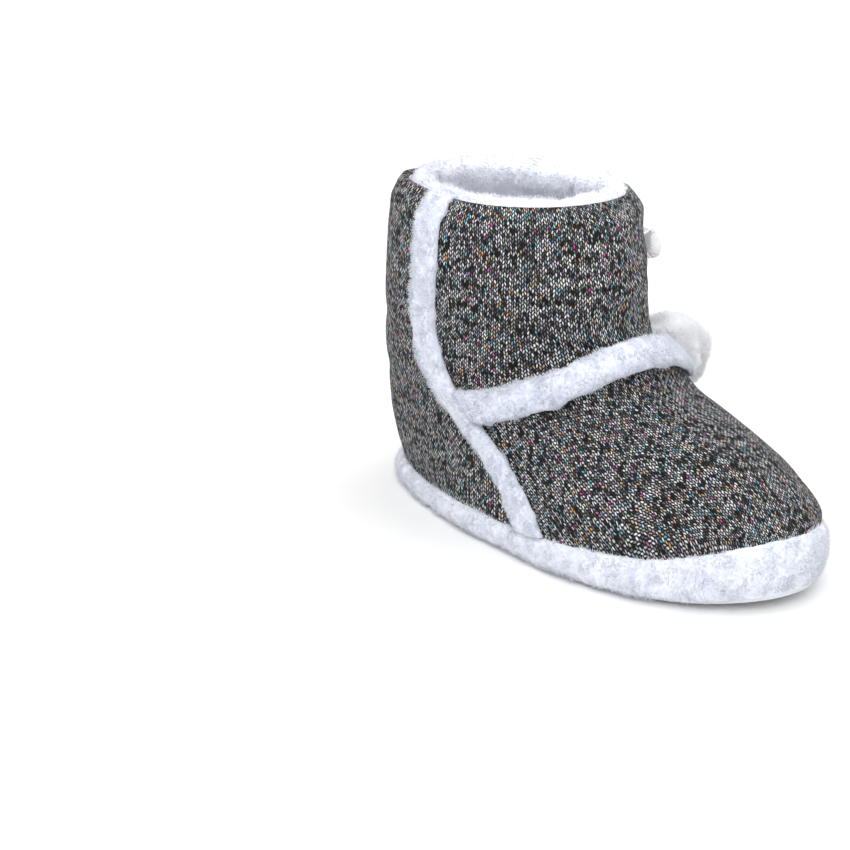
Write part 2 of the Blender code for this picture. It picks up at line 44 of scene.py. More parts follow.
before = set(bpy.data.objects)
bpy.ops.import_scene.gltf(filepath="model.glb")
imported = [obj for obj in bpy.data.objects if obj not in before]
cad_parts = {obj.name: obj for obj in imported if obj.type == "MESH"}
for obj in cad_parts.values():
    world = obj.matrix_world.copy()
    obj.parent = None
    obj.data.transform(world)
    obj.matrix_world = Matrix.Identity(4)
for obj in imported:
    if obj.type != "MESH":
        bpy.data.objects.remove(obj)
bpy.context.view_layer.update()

MM = 0.001

# Sections of the upper in millimetres, from the platform up to the collar
SECTION_COLUMNS = ("level", "back", "front", "heel", "waist", "ball", "curve", "back_rise", "front_rise")
SECTIONS = (
    (12.0, -6.0, 254.5, 44.0, 54.5, 58.5, 1.00, 0.0, 14.0),
    (28.0, -10.0, 255.0, 47.0, 54.5, 59.0, 1.00, 0.0, 6.0),
    (42.0, -12.0, 246.0, 48.5, 54.0, 56.5, 0.90, 0.0, 2.0),
    (58.0, -12.0, 221.0, 49.5, 53.5, 52.0, 0.70, 0.0, 0.0),
    (74.0, -11.0, 185.0, 50.0, 53.0, 48.5, 0.50, 0.0, 0.0),
    (90.0, -7.5, 159.0, 51.0, 53.5, 48.5, 0.25, 0.5, 0.0),
    (106.0, -4.0, 142.5, 52.0, 54.5, 50.5, 0.05, 1.0, 0.0),
    (122.0, -0.5, 136.0, 53.0, 56.0, 54.0, 0.00, 2.0, 0.0),
    (137.0, 2.5, 132.5, 53.5, 56.5, 56.0, 0.00, 3.0, 0.0),
    (148.0, 5.5, 129.5, 52.0, 55.0, 55.0, 0.00, 3.5, 0.0),
    (154.0, 10.0, 124.0, 48.0, 50.5, 51.0, 0.00, 4.0, 0.0),
)
TABLE = {name: np.array([row[i] for row in SECTIONS]) * MM for i, name in enumerate(SECTION_COLUMNS)}
TABLE["curve"] = TABLE["curve"] / MM
BASE_LEVEL = TABLE["level"][0]
TOP_LEVEL = TABLE["level"][-1]
HEEL_PLACE, WAIST_PLACE, BALL_PLACE = 0.15, 0.45, 0.75
TOE_FULLNESS, HEEL_FULLNESS = 2.2, 2.7
CURVE_OUT, CURVE_TOE = 2.0 * MM, 1.5 * MM
WALL = 4.0 * MM
GAP = 0.3 * MM
SPRING_START, SPRING_END, SPRING_HEIGHT = 185.0 * MM, 255.0 * MM, 6.5 * MM
SOLE_THICKNESS, SOLE_INSET, RIM_WIDTH, FIELD_DEPTH = 4.0 * MM, 3.5 * MM, 9.5 * MM, 1.2 * MM
WAIST_PANEL = (66.0 * MM, 98.0 * MM)

# Middle of the side strips: level in millimetres and angle in degrees from the toe line
SIDE_BAND = (
    (12.0, 82.5), (28.0, 86.5), (42.0, 91.0), (58.0, 96.5), (74.0, 99.5), (90.0, 98.0),
    (106.0, 94.5), (122.0, 91.0), (137.0, 89.0), (154.0, 88.5),
)
# Middle of the instep strip: angle in degrees and level in millimetres
INSTEP_BAND = ((0.0, 93.2), (20.0, 91.6), (40.0, 85.6), (60.0, 76.8), (80.0, 68.0), (100.0, 60.0))
# Width of the side strips by level, and of the instep strip, in millimetres
SIDE_WIDTH = ((58.0, 19.5), (74.0, 19.0), (96.0, 16.0), (154.0, 15.5))
INSTEP_WIDTH = 15.0

# Soft folds of the knit: amount, height, slope, width, place round the boot and spread,
# in millimetres and degrees
SOFT_FOLDS = (
    (-1.0, 93.2, 0.15, 6.0, 148.0, 22.0), (-0.8, 62.4, -0.20, 5.0, 138.0, 18.0),
    (-1.2, 46.0, 0.0, 11.0, 34.0, 9.0), (0.7, 52.0, 0.0, 10.0, 22.0, 10.0),
)
# How far the toe's tip is drawn back, and how high the platform's fleece stands on it
TOE_PULL, TOE_LIP = 3.2 * MM, 7.0 * MM
# Colours of the fleece inside the boot and on the footbed, for its creases and its crowns: painted light,
# lighter than the fleece outside, against the shade inside the boot
INNER_FLEECE_PAINTED_LIGHT = ((0.86, 0.88, 0.94), (0.96, 0.97, 1.0))

# Fleece of the platform: how far each row stands out from the knit, and its share of the height
FOXING_PROFILE = (
    (-3.2, 0.13), (-1.6, 0.10), (0.6, 0.17), (2.2, 0.31), (3.0, 0.48), (3.0, 0.67), (2.3, 0.84), (1.3, 0.95),
    (0.4, 1.0), (-1.2, 1.0),
)
# Fleece of the collar: inward and upward from the rim, in millimetres
LINING_PROFILE = (
    (4.4, -24.0), (4.4, -10.0), (4.4, -4.5), (4.7, -2.0), (5.6, 0.2), (7.6, 1.9), (10.4, 2.2), (13.2, 0.4),
    (14.8, -4.0), (15.0, -12.0), (13.6, -22.0), (11.6, -32.0), (8.6, -37.0), (5.6, -36.0),
)

# The ankle's middle, from which the bearings of the shaft's columns are taken
ANKLE_AXIS, ANKLE_LEVEL = 66.0 * MM, 122.0 * MM
# Straight part of the collar above the top section, below its rounded rim
RIM_RAISE = 3.2 * MM

POMPOM_CENTRE = np.array((94.26, 77.75, 69.0)) * MM
BOW_LEVEL, BOW_ANGLE = 127.5 * MM, math.radians(66.0)


def hump(value, middle, width, power=2):
    """Bell curve: 1 at the middle, falling off past the width, and flatter on top for a higher power."""
    return np.exp(-(((value - middle) / width) ** power))


def ease(value, start, end):
    """How far a value has come from the start to the end, held from 0 to 1."""
    return np.clip((value - start) / (end - start), 0.0, 1.0)


def smooth_table(xs, ys, value):
    """Monotone cubic through the points (xs, ys), held level past its ends."""
    step = np.diff(xs)
    slope = np.diff(ys) / step
    tangent = np.zeros_like(ys)
    tangent[0] = slope[0]
    tangent[-1] = slope[-1]
    product = slope[:-1] * slope[1:]
    total = slope[:-1] + slope[1:]
    safe = np.where(product > 0.0, total, 1.0)
    tangent[1:-1] = np.where(product > 0.0, 2.0 * product / safe, 0.0)
    value = np.clip(value, xs[0], xs[-1])
    index = np.clip(np.searchsorted(xs, value, side="right") - 1, 0, len(xs) - 2)
    width = step[index]
    u = (value - xs[index]) / width
    first = (2.0 * u**3 - 3.0 * u**2 + 1.0) * ys[index]
    second = (u**3 - 2.0 * u**2 + u) * width * tangent[index]
    third = (3.0 * u**2 - 2.0 * u**3) * ys[index + 1]
    fourth = (u**3 - u**2) * width * tangent[index + 1]
    return first + second + third + fourth


def section(name, level):
    """Value of one column of the table of sections at a level."""
    return smooth_table(TABLE["level"], TABLE[name], level)


def side_width(level):
    """Width of a side strip at a level."""
    table = np.array(SIDE_WIDTH) * MM
    return smooth_table(table[:, 0], table[:, 1], level)


def upper_point(level, angle):
    """Point on the outside of the upper.

    A section is a rounded oval between its back and its front, fuller at the heel than at the toe.
    Its half width is the parabola through the heel, waist and ball widths.
    """
    level, angle = np.broadcast_arrays(np.asarray(level, float), np.asarray(angle, float))
    cosine, sine = np.cos(angle), np.sin(angle)
    fullness = TOE_FULLNESS + (HEEL_FULLNESS - TOE_FULLNESS) * (1.0 - cosine) / 2.0
    radius = (np.abs(cosine) ** fullness + np.abs(sine) ** fullness) ** (-1.0 / fullness)
    along, across = radius * cosine, radius * sine
    back, front = section("back", level), section("front", level)
    place = (along + 1.0) / 2.0
    heel = (place - WAIST_PLACE) * (place - BALL_PLACE)
    heel = heel / ((HEEL_PLACE - WAIST_PLACE) * (HEEL_PLACE - BALL_PLACE))
    waist = (place - HEEL_PLACE) * (place - BALL_PLACE)
    waist = waist / ((WAIST_PLACE - HEEL_PLACE) * (WAIST_PLACE - BALL_PLACE))
    half_width = section("heel", level) * heel + section("waist", level) * waist
    half_width = half_width + section("ball", level) * (1.0 - heel - waist)
    bend = CURVE_OUT * np.sin(math.pi * place) ** 2 + CURVE_TOE * place**2
    x = back + (front - back) * place
    y = section("curve", level) * bend + half_width * across
    rise = section("back_rise", level) * (1.0 - place) ** 2 + section("front_rise", level) * place**3
    return np.stack([x, y, level + rise], axis=-1)


def unit(vectors):
    """Vectors of length one."""
    return vectors / np.maximum(np.linalg.norm(vectors, axis=-1, keepdims=True), 1e-12)


def upper_slopes(level, angle):
    """How the upper's point moves per metre of level and per radian of angle."""
    level = np.asarray(level, float)
    low = np.maximum(level - 0.2 * MM, BASE_LEVEL)
    high = np.minimum(level + 0.2 * MM, TOP_LEVEL)
    rise = (upper_point(high, angle) - upper_point(low, angle)) / np.asarray(high - low)[..., None]
    turn = (upper_point(level, angle + 0.002) - upper_point(level, angle - 0.002)) / 0.004
    return rise, turn


def upper_normal(level, angle):
    """Outward direction of the upper's outer face."""
    rise, turn = upper_slopes(level, angle)
    return unit(np.cross(turn, rise))


def wall_point(level, angle, out):
    """Point that lies out from the upper's outer face, along its normal."""
    level, angle, out = np.broadcast_arrays(
        np.asarray(level, float), np.asarray(angle, float), np.asarray(out, float))
    return upper_point(level, angle) + upper_normal(level, angle) * out[..., None]


def base_height(x):
    """Height of the upper's lower edge at a place along the boot."""
    back = TABLE["back"][0]
    place = np.clip((x - back) / (TABLE["front"][0] - back), 0.0, None)
    return BASE_LEVEL + TABLE["front_rise"][0] * place**3


def ground_height(x):
    """Height of the bent up sole above the floor: nothing as far as the ball, then a parabola."""
    place = np.clip((x - SPRING_START) / (SPRING_END - SPRING_START), 0.0, None)
    return SPRING_HEIGHT * place**2


def round_angles(count):
    """Evenly spread angles round the boot."""
    return (np.arange(count) + 0.5) * 2.0 * math.pi / count


def base_outline(outset, angles):
    """Plan of the upper's lower edge, moved outwards by a distance.

    Returns the points and their outward directions.
    """
    level = np.full(angles.shape, BASE_LEVEL)
    turn = upper_slopes(level, angles)[1]
    outward = unit(np.stack([turn[..., 1], -turn[..., 0]], axis=-1))
    return upper_point(level, angles)[..., :2] + outward * np.asarray(outset, float)[..., None], outward


def path_length(points):
    """Length of the path from its first point to each of its points."""
    return np.concatenate([[0.0], np.cumsum(np.linalg.norm(np.diff(points, axis=0), axis=-1))])


def signed_angle(angle):
    """The same angle between minus and plus half a turn."""
    return (angle + math.pi) % (2.0 * math.pi) - math.pi


def random_at(cell, seed):
    """Number from 0 to 1 for each whole-number cell, from products and shifts of its coordinates."""
    cell = cell.astype(np.int64) & 0xFFFFFFFF
    mix = (cell[..., 0] * 73856093) ^ (cell[..., 1] * 19349663)
    mix = mix ^ (cell[..., 2] * 83492791) ^ (seed * 2654435761)
    mix = (mix ^ (mix >> 13)) & 0xFFFFFFFF
    mix = (mix * 1274126177) & 0xFFFFFFFF
    mix = (mix ^ (mix >> 16)) & 0xFFFFFFFF
    mix = (mix * 668265263) & 0xFFFFFFFF
    mix = mix ^ (mix >> 15)
    return (mix & 0xFFFFFF) / float(0x1000000)


def swell(points, size, seed):
    """Soft noise from -1 to 1: random values at a cube's corners, blended by smooth steps. size is its side."""
    place = points / size
    corner = np.floor(place)
    part = place - corner
    part = part * part * (3.0 - 2.0 * part)
    total = np.zeros(points.shape[:-1])
    for dx in (0, 1):
        for dy in (0, 1):
            for dz in (0, 1):
                step = np.array((dx, dy, dz))
                weight = np.prod(np.where(step == 1, part, 1.0 - part), axis=-1)
                total += weight * random_at(corner + step, seed)
    return 2.0 * total - 1.0


def clumps(points, size, seed):
    """Clumps of pile: each point takes the nearest of the centres scattered one to a cube.

    Returns the distance to it as a share of the size, and the direction to it.
    """
    place = points / size
    corner = np.floor(place)
    best = np.full(points.shape[:-1], 9.0)
    towards = np.zeros(points.shape)
    for dx in (-1, 0, 1):
        for dy in (-1, 0, 1):
            for dz in (-1, 0, 1):
                cell = corner + np.array((dx, dy, dz))
                scatter = np.stack([random_at(cell, seed + i) for i in range(3)], axis=-1)
                away = cell + 0.15 + 0.7 * scatter - place
                distance = np.linalg.norm(away, axis=-1)
                nearer = distance < best
                best = np.where(nearer, distance, best)
                towards = np.where(nearer[..., None], away, towards)
    return best, towards


def grid_normals(points, wrap_rows, wrap_columns):
    """Unit normals of a grid of points: the cross product of the steps along its rows and its columns."""
    def steps(axis, wrap):
        if wrap:
            return np.roll(points, -1, axis=axis) - np.roll(points, 1, axis=axis)
        return np.gradient(points, axis=axis)
    return unit(np.cross(steps(1, wrap_columns), steps(0, wrap_rows)))


def grid_faces(rows, columns, wrap_rows, wrap_columns):
    """Four-sided faces of a grid, as an array of corners."""
    row = np.arange(rows if wrap_rows else rows - 1)
    column = np.arange(columns if wrap_columns else columns - 1)
    row, column = np.meshgrid(row, column, indexing="ij")
    below, right = (row + 1) % rows, (column + 1) % columns
    corners = [row * columns + column, row * columns + right, below * columns + right, below * columns + column]
    return np.stack(corners, axis=-1).reshape(-1, 4)


def ladder_faces(start, count):
    """Faces that close a ring of points by rungs between its two sides."""
    i = np.arange(count // 2 - 1)
    return np.stack([start + i, start + i + 1, start + count - 2 - i, start + count - 1 - i], axis=-1)


def fold_shut(rows, columns):
    """Faces that close a ring grid's last row on half as many points, which follow the grid."""
    i = np.arange(columns)
    j = (i + 1) % columns
    fold = np.where(i < columns // 2, i, columns - 1 - i)
    start, seam = (rows - 1) * columns, rows * columns
    closed = fold[i] == fold[j]
    quads = np.stack([start + i, start + j, seam + fold[j], seam + fold[i]], axis=-1)
    return [quads[~closed], quads[closed][:, [0, 1, 3]]]


def pole_faces(rows, columns):
    """Faces of a ring grid, closed at both ends by the two points that follow the grid."""
    ring = np.arange(columns)
    after, last, pole = np.roll(ring, -1), (rows - 1) * columns, np.full(columns, rows * columns)
    top = np.stack([pole, after, ring], axis=-1)
    bottom = np.stack([pole + 1, last + ring, last + after], axis=-1)
    return [grid_faces(rows, columns, False, True), top, bottom]


def with_poles(grid):
    """Points of a grid, and then the middles of its first and last rows."""
    return np.concatenate([grid.reshape(-1, 3), [grid[0].mean(axis=0), grid[-1].mean(axis=0)]])


def turned(faces):
    """The same faces seen from their other side."""
    return [group[..., ::-1] for group in faces]


def link(name, data):
    """Object of some data, at the origin of the scene."""
    made = bpy.data.objects.new(name, data)
    bpy.context.scene.collection.objects.link(made)
    return made


class Pile:
    """Points, faces and depths of a piece, gathered from its base and its strands."""

    def __init__(self):
        self.points, self.faces, self.depths, self.looks = [], [], [], []
        self.count = 0

    def add(self, points, faces, depth, looks=None):
        """Add a mesh, with its groups of faces and the number of each group's material.

        depth, which the fleece's colour takes as painted shade, is 0 at the roots and 1 at the tips.
        """
        points = np.asarray(points, float).reshape(-1, 3)
        for group, look in zip(faces, looks or [0] * len(faces)):
            self.faces.append(group + self.count)
            self.looks.append(np.full(len(group), look))
        self.points.append(points)
        self.depths.append(np.broadcast_to(np.asarray(depth, float).reshape(-1), len(points)))
        self.count += len(points)

    def build(self, name, materials, uv=None, way_round=None):
        """The object, with its depth attribute, which carries the fleece's painted shade.

        Where the cloth closes on itself after way_round, a face across the join carries on past the end.
        """
        points = np.concatenate(self.points)
        sizes = np.concatenate([np.full(len(group), group.shape[1]) for group in self.faces])
        loops = np.concatenate([group.reshape(-1) for group in self.faces])
        mesh = bpy.data.meshes.new(name)
        mesh.vertices.add(len(points))
        mesh.loops.add(len(loops))
        mesh.polygons.add(len(sizes))
        mesh.vertices.foreach_set("co", points.astype(np.float32).ravel())
        mesh.loops.foreach_set("vertex_index", loops.astype(np.int32))
        mesh.polygons.foreach_set("loop_start", (np.cumsum(sizes) - sizes).astype(np.int32))
        mesh.polygons.foreach_set("loop_total", sizes.astype(np.int32))
        mesh.update(calc_edges=True)
        mesh.polygons.foreach_set("use_smooth", np.ones(len(sizes), dtype=bool))
        for material in materials:
            mesh.materials.append(material)
        mesh.polygons.foreach_set("material_index", np.concatenate(self.looks).astype(np.int32))
        layer = mesh.attributes.new("depth", "FLOAT", "POINT")
        layer.data.foreach_set("value", np.concatenate(self.depths).astype(np.float32))
        if uv is not None:
            corners = uv[loops]
            if way_round is not None:
                across = corners[:, 0].reshape(-1, 4)
                over = (np.ptp(across, axis=1) > 0.5 * way_round)[:, None] & (across < 0.0)
                corners[:, 0] = (across + way_round * over).ravel()
            mesh.uv_layers.new(name="cloth").data.foreach_set("uv", corners.astype(np.float32).ravel())
        mesh.validate()
        mesh.update()
        return link(name, mesh)


def strands(pile, roots, normals, pull, length, width, seed, wild=0.45):
    """Short tapered hairs, each a slim pyramid: three points round its root and one at its tip.

    A hair grows along the normal, bent by the pull of its clump and by a random lean. Hairs are longer where a
    soft noise is high, so that tufts stand out from the pile.
    """
    random = np.random.default_rng(seed)
    count = len(roots)
    lean = random.normal(size=(count, 3))
    heading = unit(normals + pull + wild * lean)
    heading = unit(heading + 0.25 * normals)
    tuft = 0.85 + 0.45 * swell(roots, 5.0 * MM, seed + 100)
    reach = length * tuft * (0.5 + 0.65 * random.random(count))
    side = unit(np.cross(heading, random.normal(size=(count, 3))))
    other = np.cross(heading, side)
    thick = 0.5 * width * (0.7 + 0.6 * random.random(count))
    corners = []
    for turn in (0.0, 2.0 * math.pi / 3.0, 4.0 * math.pi / 3.0):
        offset = math.cos(turn) * side + math.sin(turn) * other
        corners.append(roots + offset * thick[:, None])
    tip = roots + heading * reach[:, None]
    points = np.stack([*corners, tip], axis=1)
    base = 4 * np.arange(count)[:, None]
    faces = np.concatenate([base + np.array(f) for f in ((0, 1, 3), (1, 2, 3), (2, 0, 3), (0, 2, 1))])
    # Painted shade: the roots take a low depth and so the darker colour, the tips the crowns' colour.
    depth = np.tile(np.array((0.35, 0.35, 0.35, 1.0)), (count, 1))
    pile.add(points, [faces], depth)


def scatter(points, normals, count, seed, weight=None):
    """Random places on a grid surface: a cell drawn by its area times its weight, then a place within it."""
    random = np.random.default_rng(seed)
    a = points[1:, :-1] - points[:-1, :-1]
    b = points[:-1, 1:] - points[:-1, :-1]
    area = np.linalg.norm(np.cross(a, b), axis=-1)
    if weight is not None:
        area = area * weight[:-1, :-1]
    total = np.cumsum(area.ravel())
    cell = np.searchsorted(total, random.random(count) * total[-1])
    row, column = np.unravel_index(np.minimum(cell, area.size - 1), area.shape)
    u, v = random.random(count)[:, None], random.random(count)[:, None]

    def blend(grid):
        near = grid[row, column] * (1.0 - v) + grid[row, column + 1] * v
        far = grid[row + 1, column] * (1.0 - v) + grid[row + 1, column + 1] * v
        return near * (1.0 - u) + far * u

    return blend(points), unit(blend(normals)), row, column


def fleece_relief(points, normals, amount, size, seed):
    """Fleece surface, pushed out along the normals: rounded clumps with creases between, and a finer swell.

    Returns the moved points and the depth, which is 0 deep in the creases and 1 on a clump's crown; the
    fleece's colour takes the depth as painted shade.
    """
    distance = clumps(points, size, seed)[0]
    crown = np.clip(1.0 - (distance / 0.85) ** 2, 0.0, 1.0)
    fine = swell(points, 0.32 * size, seed + 7)
    finer = swell(points, 0.16 * size, seed + 11)
    height = 0.62 * crown + 0.24 * fine + 0.14 * finer
    moved = points + normals * (np.asarray(amount) * height)[..., None]
    # The depth sets the painted shade: low in the creases, high on the crowns.
    return moved, np.clip(0.25 + 0.6 * height, 0.0, 1.0)


def pull_of(points, size, seed, strength):
    """How a hair leans to the middle of its clump."""
    return clumps(points, size, seed)[1] * strength


def settings():
    """The groups of sizes and colours that the panel shows."""
    return bpy.context.scene.bootie_knit, bpy.context.scene.bootie_fleece, bpy.context.scene.bootie_trim


class Nodes:
    """Short hand for the nodes of one material or group."""

    def __init__(self, tree):
        self.tree = tree

    def node(self, kind, *given, **values):
        """A node with its properties set, and what is given put into its first sockets."""
        made = self.tree.nodes.new(kind)
        for name, value in values.items():
            setattr(made, name, value)
        for value, socket in zip(given, made.inputs):
            self.put(value, socket)
        return made

    def put(self, value, socket):
        """Link a socket, or set a plain value."""
        if isinstance(value, bpy.types.NodeSocket):
            self.tree.links.new(value, socket)
        else:
            socket.default_value = value

    def math(self, operation, *given):
        """Result of one sum."""
        return self.node("ShaderNodeMath", *given, operation=operation).outputs[0]

    def step(self, value, low, high, start=0.0, end=1.0):
        """Smooth step of a value between two limits."""
        made = self.node("ShaderNodeMapRange", value, low, high, start, end, interpolation_type="SMOOTHSTEP")
        return made.outputs["Result"]

    def vector(self, x, y, z=0.0):
        """Vector from three values."""
        return self.node("ShaderNodeCombineXYZ", x, y, z).outputs[0]

    def parts(self, vector):
        """First two values of a vector."""
        made = self.node("ShaderNodeSeparateXYZ", vector)
        return made.outputs["X"], made.outputs["Y"]

    def random(self, vector, output="Value"):
        """Random number or colour of a cell."""
        return self.node("ShaderNodeTexWhiteNoise", vector, noise_dimensions="3D").outputs[output]

    def noise(self, vector, scale, detail=2.0, roughness=0.5, output="Fac"):
        """Soft noise at a scale."""
        made = self.node("ShaderNodeTexNoise", vector)
        for name, value in (("Scale", scale), ("Detail", detail), ("Roughness", roughness)):
            made.inputs[name].default_value = value
        return made.outputs[output]

    def mix(self, share, first, second, blend="MIX"):
        """Blend of two colours."""
        made = self.node("ShaderNodeMix", share, data_type="RGBA", blend_type=blend)
        for value, socket in ((first, made.inputs[6]), (second, made.inputs[7])):
            self.put(value if isinstance(value, bpy.types.NodeSocket) else (*value, 1.0), socket)
        return made.outputs[2]

    def bump(self, height, strength, distance, shader):
        """Put a height into a shader as its bump, with the distance in millimetres."""
        made = self.node("ShaderNodeBump")
        made.inputs["Strength"].default_value = strength
        made.inputs["Distance"].default_value = distance * MM
        self.put(height, made.inputs["Height"])
        self.put(made.outputs["Normal"], shader["Normal"])


def new_group(name, inputs, outputs):
    """Shader node group with its named sockets. Returns the group, its inputs and its output node's sockets."""
    tree = bpy.data.node_groups.new(name, "ShaderNodeTree")
    for label, kind, default in inputs:
        socket = tree.interface.new_socket(name=label, in_out="INPUT", socket_type=kind)
        if default is not None:
            socket.default_value = default
    for label, kind in outputs:
        tree.interface.new_socket(name=label, in_out="OUTPUT", socket_type=kind)
    return tree, tree.nodes.new("NodeGroupInput").outputs, tree.nodes.new("NodeGroupOutput").inputs


def new_material(name, colour, roughness, sheen=0.0, sheen_roughness=0.5, specular=0.5):
    """Material with its shader. Returns the material, its short hand and the shader's inputs."""
    material = bpy.data.materials.new(name)
    material.use_nodes = True
    shader = material.node_tree.nodes["Principled BSDF"].inputs
    for label, value in (
            ("Base Color", (*colour, 1.0)), ("Roughness", roughness), ("Sheen Weight", sheen),
            ("Sheen Roughness", sheen_roughness), ("Specular IOR Level", specular)):
        shader[label].default_value = value
    material.diffuse_color = (*colour, 1.0)
    return material, Nodes(material.node_tree), shader


def stitch_group():
    """Marled knit: slanted stitch legs in columns, each with its own tone, and a few coloured flecks.

    The vector is in millimetres, with X across the columns and Y along them. A leg is an oval within its
    cell, and odd and even columns slant against each other.
    """
    name = "Marled stitches"
    if name in bpy.data.node_groups:
        return bpy.data.node_groups[name]
    tree, given, result = new_group(
        name,
        (("Cloth", "NodeSocketVector", None), ("Column", "NodeSocketFloat", 1.67),
         ("Row", "NodeSocketFloat", 2.6)),
        (("Colour", "NodeSocketColor"), ("Height", "NodeSocketFloat")),
    )
    n = Nodes(tree)
    wobble = n.noise(given["Cloth"], 0.22, output="Color")
    shifted = n.node("ShaderNodeVectorMath", wobble, (1.4, 1.4, 0.0), given["Cloth"], operation="MULTIPLY_ADD")
    x, y = n.parts(shifted.outputs[0])
    u = n.math("DIVIDE", x, given["Column"])
    column = n.math("FLOOR", u)
    odd = n.math("FLOORED_MODULO", column, 2.0)
    v = n.math("ADD", n.math("DIVIDE", y, given["Row"]), n.math("MULTIPLY", odd, 0.5))
    v = n.math("ADD", v, n.math("MULTIPLY", n.random(n.vector(column, 3.7, 1.0)), 0.3))
    row = n.math("FLOOR", v)
    within = n.math("SUBTRACT", n.math("FRACT", v), 0.5)
    slant = n.math("MULTIPLY", n.math("SUBTRACT", n.math("MULTIPLY", odd, 2.0), 1.0), within)
    across = n.math("ADD", n.math("SUBTRACT", n.math("FRACT", u), 0.5), n.math("MULTIPLY", slant, 0.42))
    tone = n.random(n.vector(column, row, 0.0))
    size = n.step(n.random(n.vector(column, row, 5.0)), 0.0, 1.0, 0.30, 0.44)
    wide = n.math("POWER", n.math("DIVIDE", across, size), 2.0)
    far = n.math("SQRT", n.math("ADD", wide, n.math("POWER", n.math("DIVIDE", within, 0.54), 2.0)))
    leg = n.step(far, 0.35, 1.10, 1.0, 0.0)
    patches = n.noise(n.vector(n.math("MULTIPLY", x, 0.075), n.math("MULTIPLY", y, 0.21)), 1.0, 3.5, 0.6)
    shade = n.math("ADD", tone, n.step(patches, 0.30, 0.70, -0.20, 0.20))
    light = n.math("POWER", n.step(shade, -0.15, 1.1), 1.55)
    yarn = n.mix(light, (0.010, 0.010, 0.011), (0.98, 0.98, 1.0))
    yarn = n.mix(0.24, yarn, n.random(n.vector(column, row, 2.0), "Color"), "MULTIPLY")
    pick = n.random(n.vector(column, row, 9.0))
    for chosen, share, fleck in (
            (n.math("LESS_THAN", pick, 0.036), 0.8, (0.10, 0.44, 0.62)),
            (n.math("GREATER_THAN", pick, 0.976), 0.8, (0.78, 0.40, 0.16)),
            (n.math("COMPARE", pick, 0.5, 0.004), 0.9, (0.60, 0.06, 0.34))):
        yarn = n.mix(n.math("MULTIPLY", chosen, share), yarn, fleck)
    n.put(n.mix(leg, (0.008, 0.008, 0.009), yarn), result["Colour"])
    n.put(n.math("MULTIPLY", leg, n.step(tone, 0.0, 1.0, 0.75, 1.0)), result["Height"])
    return tree


def fleece_group():
    """Tone of white fleece with painted shade: bluish and darker in the creases and at the strands' roots,
    where the depth is low, and pale on the crowns, with a random mottle, and fine curls as height.
    """
    name = "Fleece tone"
    if name in bpy.data.node_groups:
        return bpy.data.node_groups[name]
    tree, given, result = new_group(
        name,
        (("Place", "NodeSocketVector", None), ("Depth", "NodeSocketFloat", 0.5),
         ("Crease shade", "NodeSocketColor", (0.60, 0.63, 0.72, 1.0)),
         ("Crown", "NodeSocketColor", (0.86, 0.88, 0.94, 1.0))),
        (("Colour", "NodeSocketColor"), ("Height", "NodeSocketFloat")),
    )
    n = Nodes(tree)
    curl = n.noise(given["Place"], 900.0, 3.0, 0.65)
    mottle = n.step(n.noise(given["Place"], 130.0, 3.0, 0.6), 0.25, 0.75, -0.18, 0.18)
    # The depth gives the painted shade; the mottle and the curls add tone that differs at random.
    share = n.math("ADD", n.math("ADD", given["Depth"], mottle), n.step(curl, 0.2, 0.8, -0.08, 0.08))
    n.put(n.mix(n.step(share, 0.0, 0.75), given["Crease shade"], given["Crown"]), result["Colour"])
    n.put(curl, result["Height"])
    return tree


def fleece_material(name, crease_shade=(0.70, 0.735, 0.84), crown=(0.84, 0.865, 0.94)):
    """White sherpa, soft in the light, with painted shade in its creases and at its strands' roots."""
    material, n, shader = new_material(name, crown, 0.95, 0.35, 0.6, 0.1)
    place = n.node("ShaderNodeTexCoord").outputs["Object"]
    depth = n.node("ShaderNodeAttribute", attribute_name="depth").outputs["Fac"]
    tone = n.node("ShaderNodeGroup", node_tree=fleece_group())
    for value, label in (
            (place, "Place"), (depth, "Depth"), ((*crease_shade, 1.0), "Crease shade"), ((*crown, 1.0), "Crown")):
        n.put(value, tone.inputs[label])
    n.put(tone.outputs["Colour"], shader["Base Color"])
    n.bump(tone.outputs["Height"], 0.15, 0.5, shader)
    return material


def knit_material():
    """Thick marled knit of charcoal and white yarn."""
    knit = settings()[0]
    material, n, shader = new_material("Marled knit", (0.13, 0.13, 0.14), 0.9, 0.03, 0.5, 0.12)
    stitches = n.node("ShaderNodeGroup", node_tree=stitch_group())
    n.put(n.node("ShaderNodeUVMap", uv_map="cloth").outputs["UV"], stitches.inputs["Cloth"])
    n.put(knit.column / MM, stitches.inputs["Column"])
    n.put(knit.row / MM, stitches.inputs["Row"])
    n.put(stitches.outputs["Colour"], shader["Base Color"])
    n.bump(stitches.outputs["Height"], 0.8, 0.6, shader)
    return material


def strip_angle(level):
    """Angle of the middle of the lateral side strip."""
    table = np.array(SIDE_BAND)
    return np.radians(smooth_table(table[:, 0] * MM, table[:, 1], level))


def instep_level(angle):
    """Level of the middle of the instep strip."""
    table = np.array(INSTEP_BAND)
    return smooth_table(np.radians(table[:, 0]), table[:, 1] * MM, np.abs(angle))


def toe_share(angle):
    """1 at the toe's tip and 0 past its sides."""
    return hump(np.degrees(np.abs(angle)), 0.0, 40.0, 4)


def toe_relief(level, angle):
    """How far the toe's tip is drawn back, less and less up the vamp, in metres."""
    return -TOE_PULL * toe_share(angle) * ease(level, 58.0 * MM, 42.0 * MM)


def throat_relief(level, angle):
    """How far the shaft is drawn in where it comes down on the instep strip, in metres."""
    above = (level - instep_level(angle)) / MM
    return -8.0 * MM * hump(above, 10.0, 11.0) * hump(np.degrees(np.abs(angle)), 0.0, 60.0, 4)


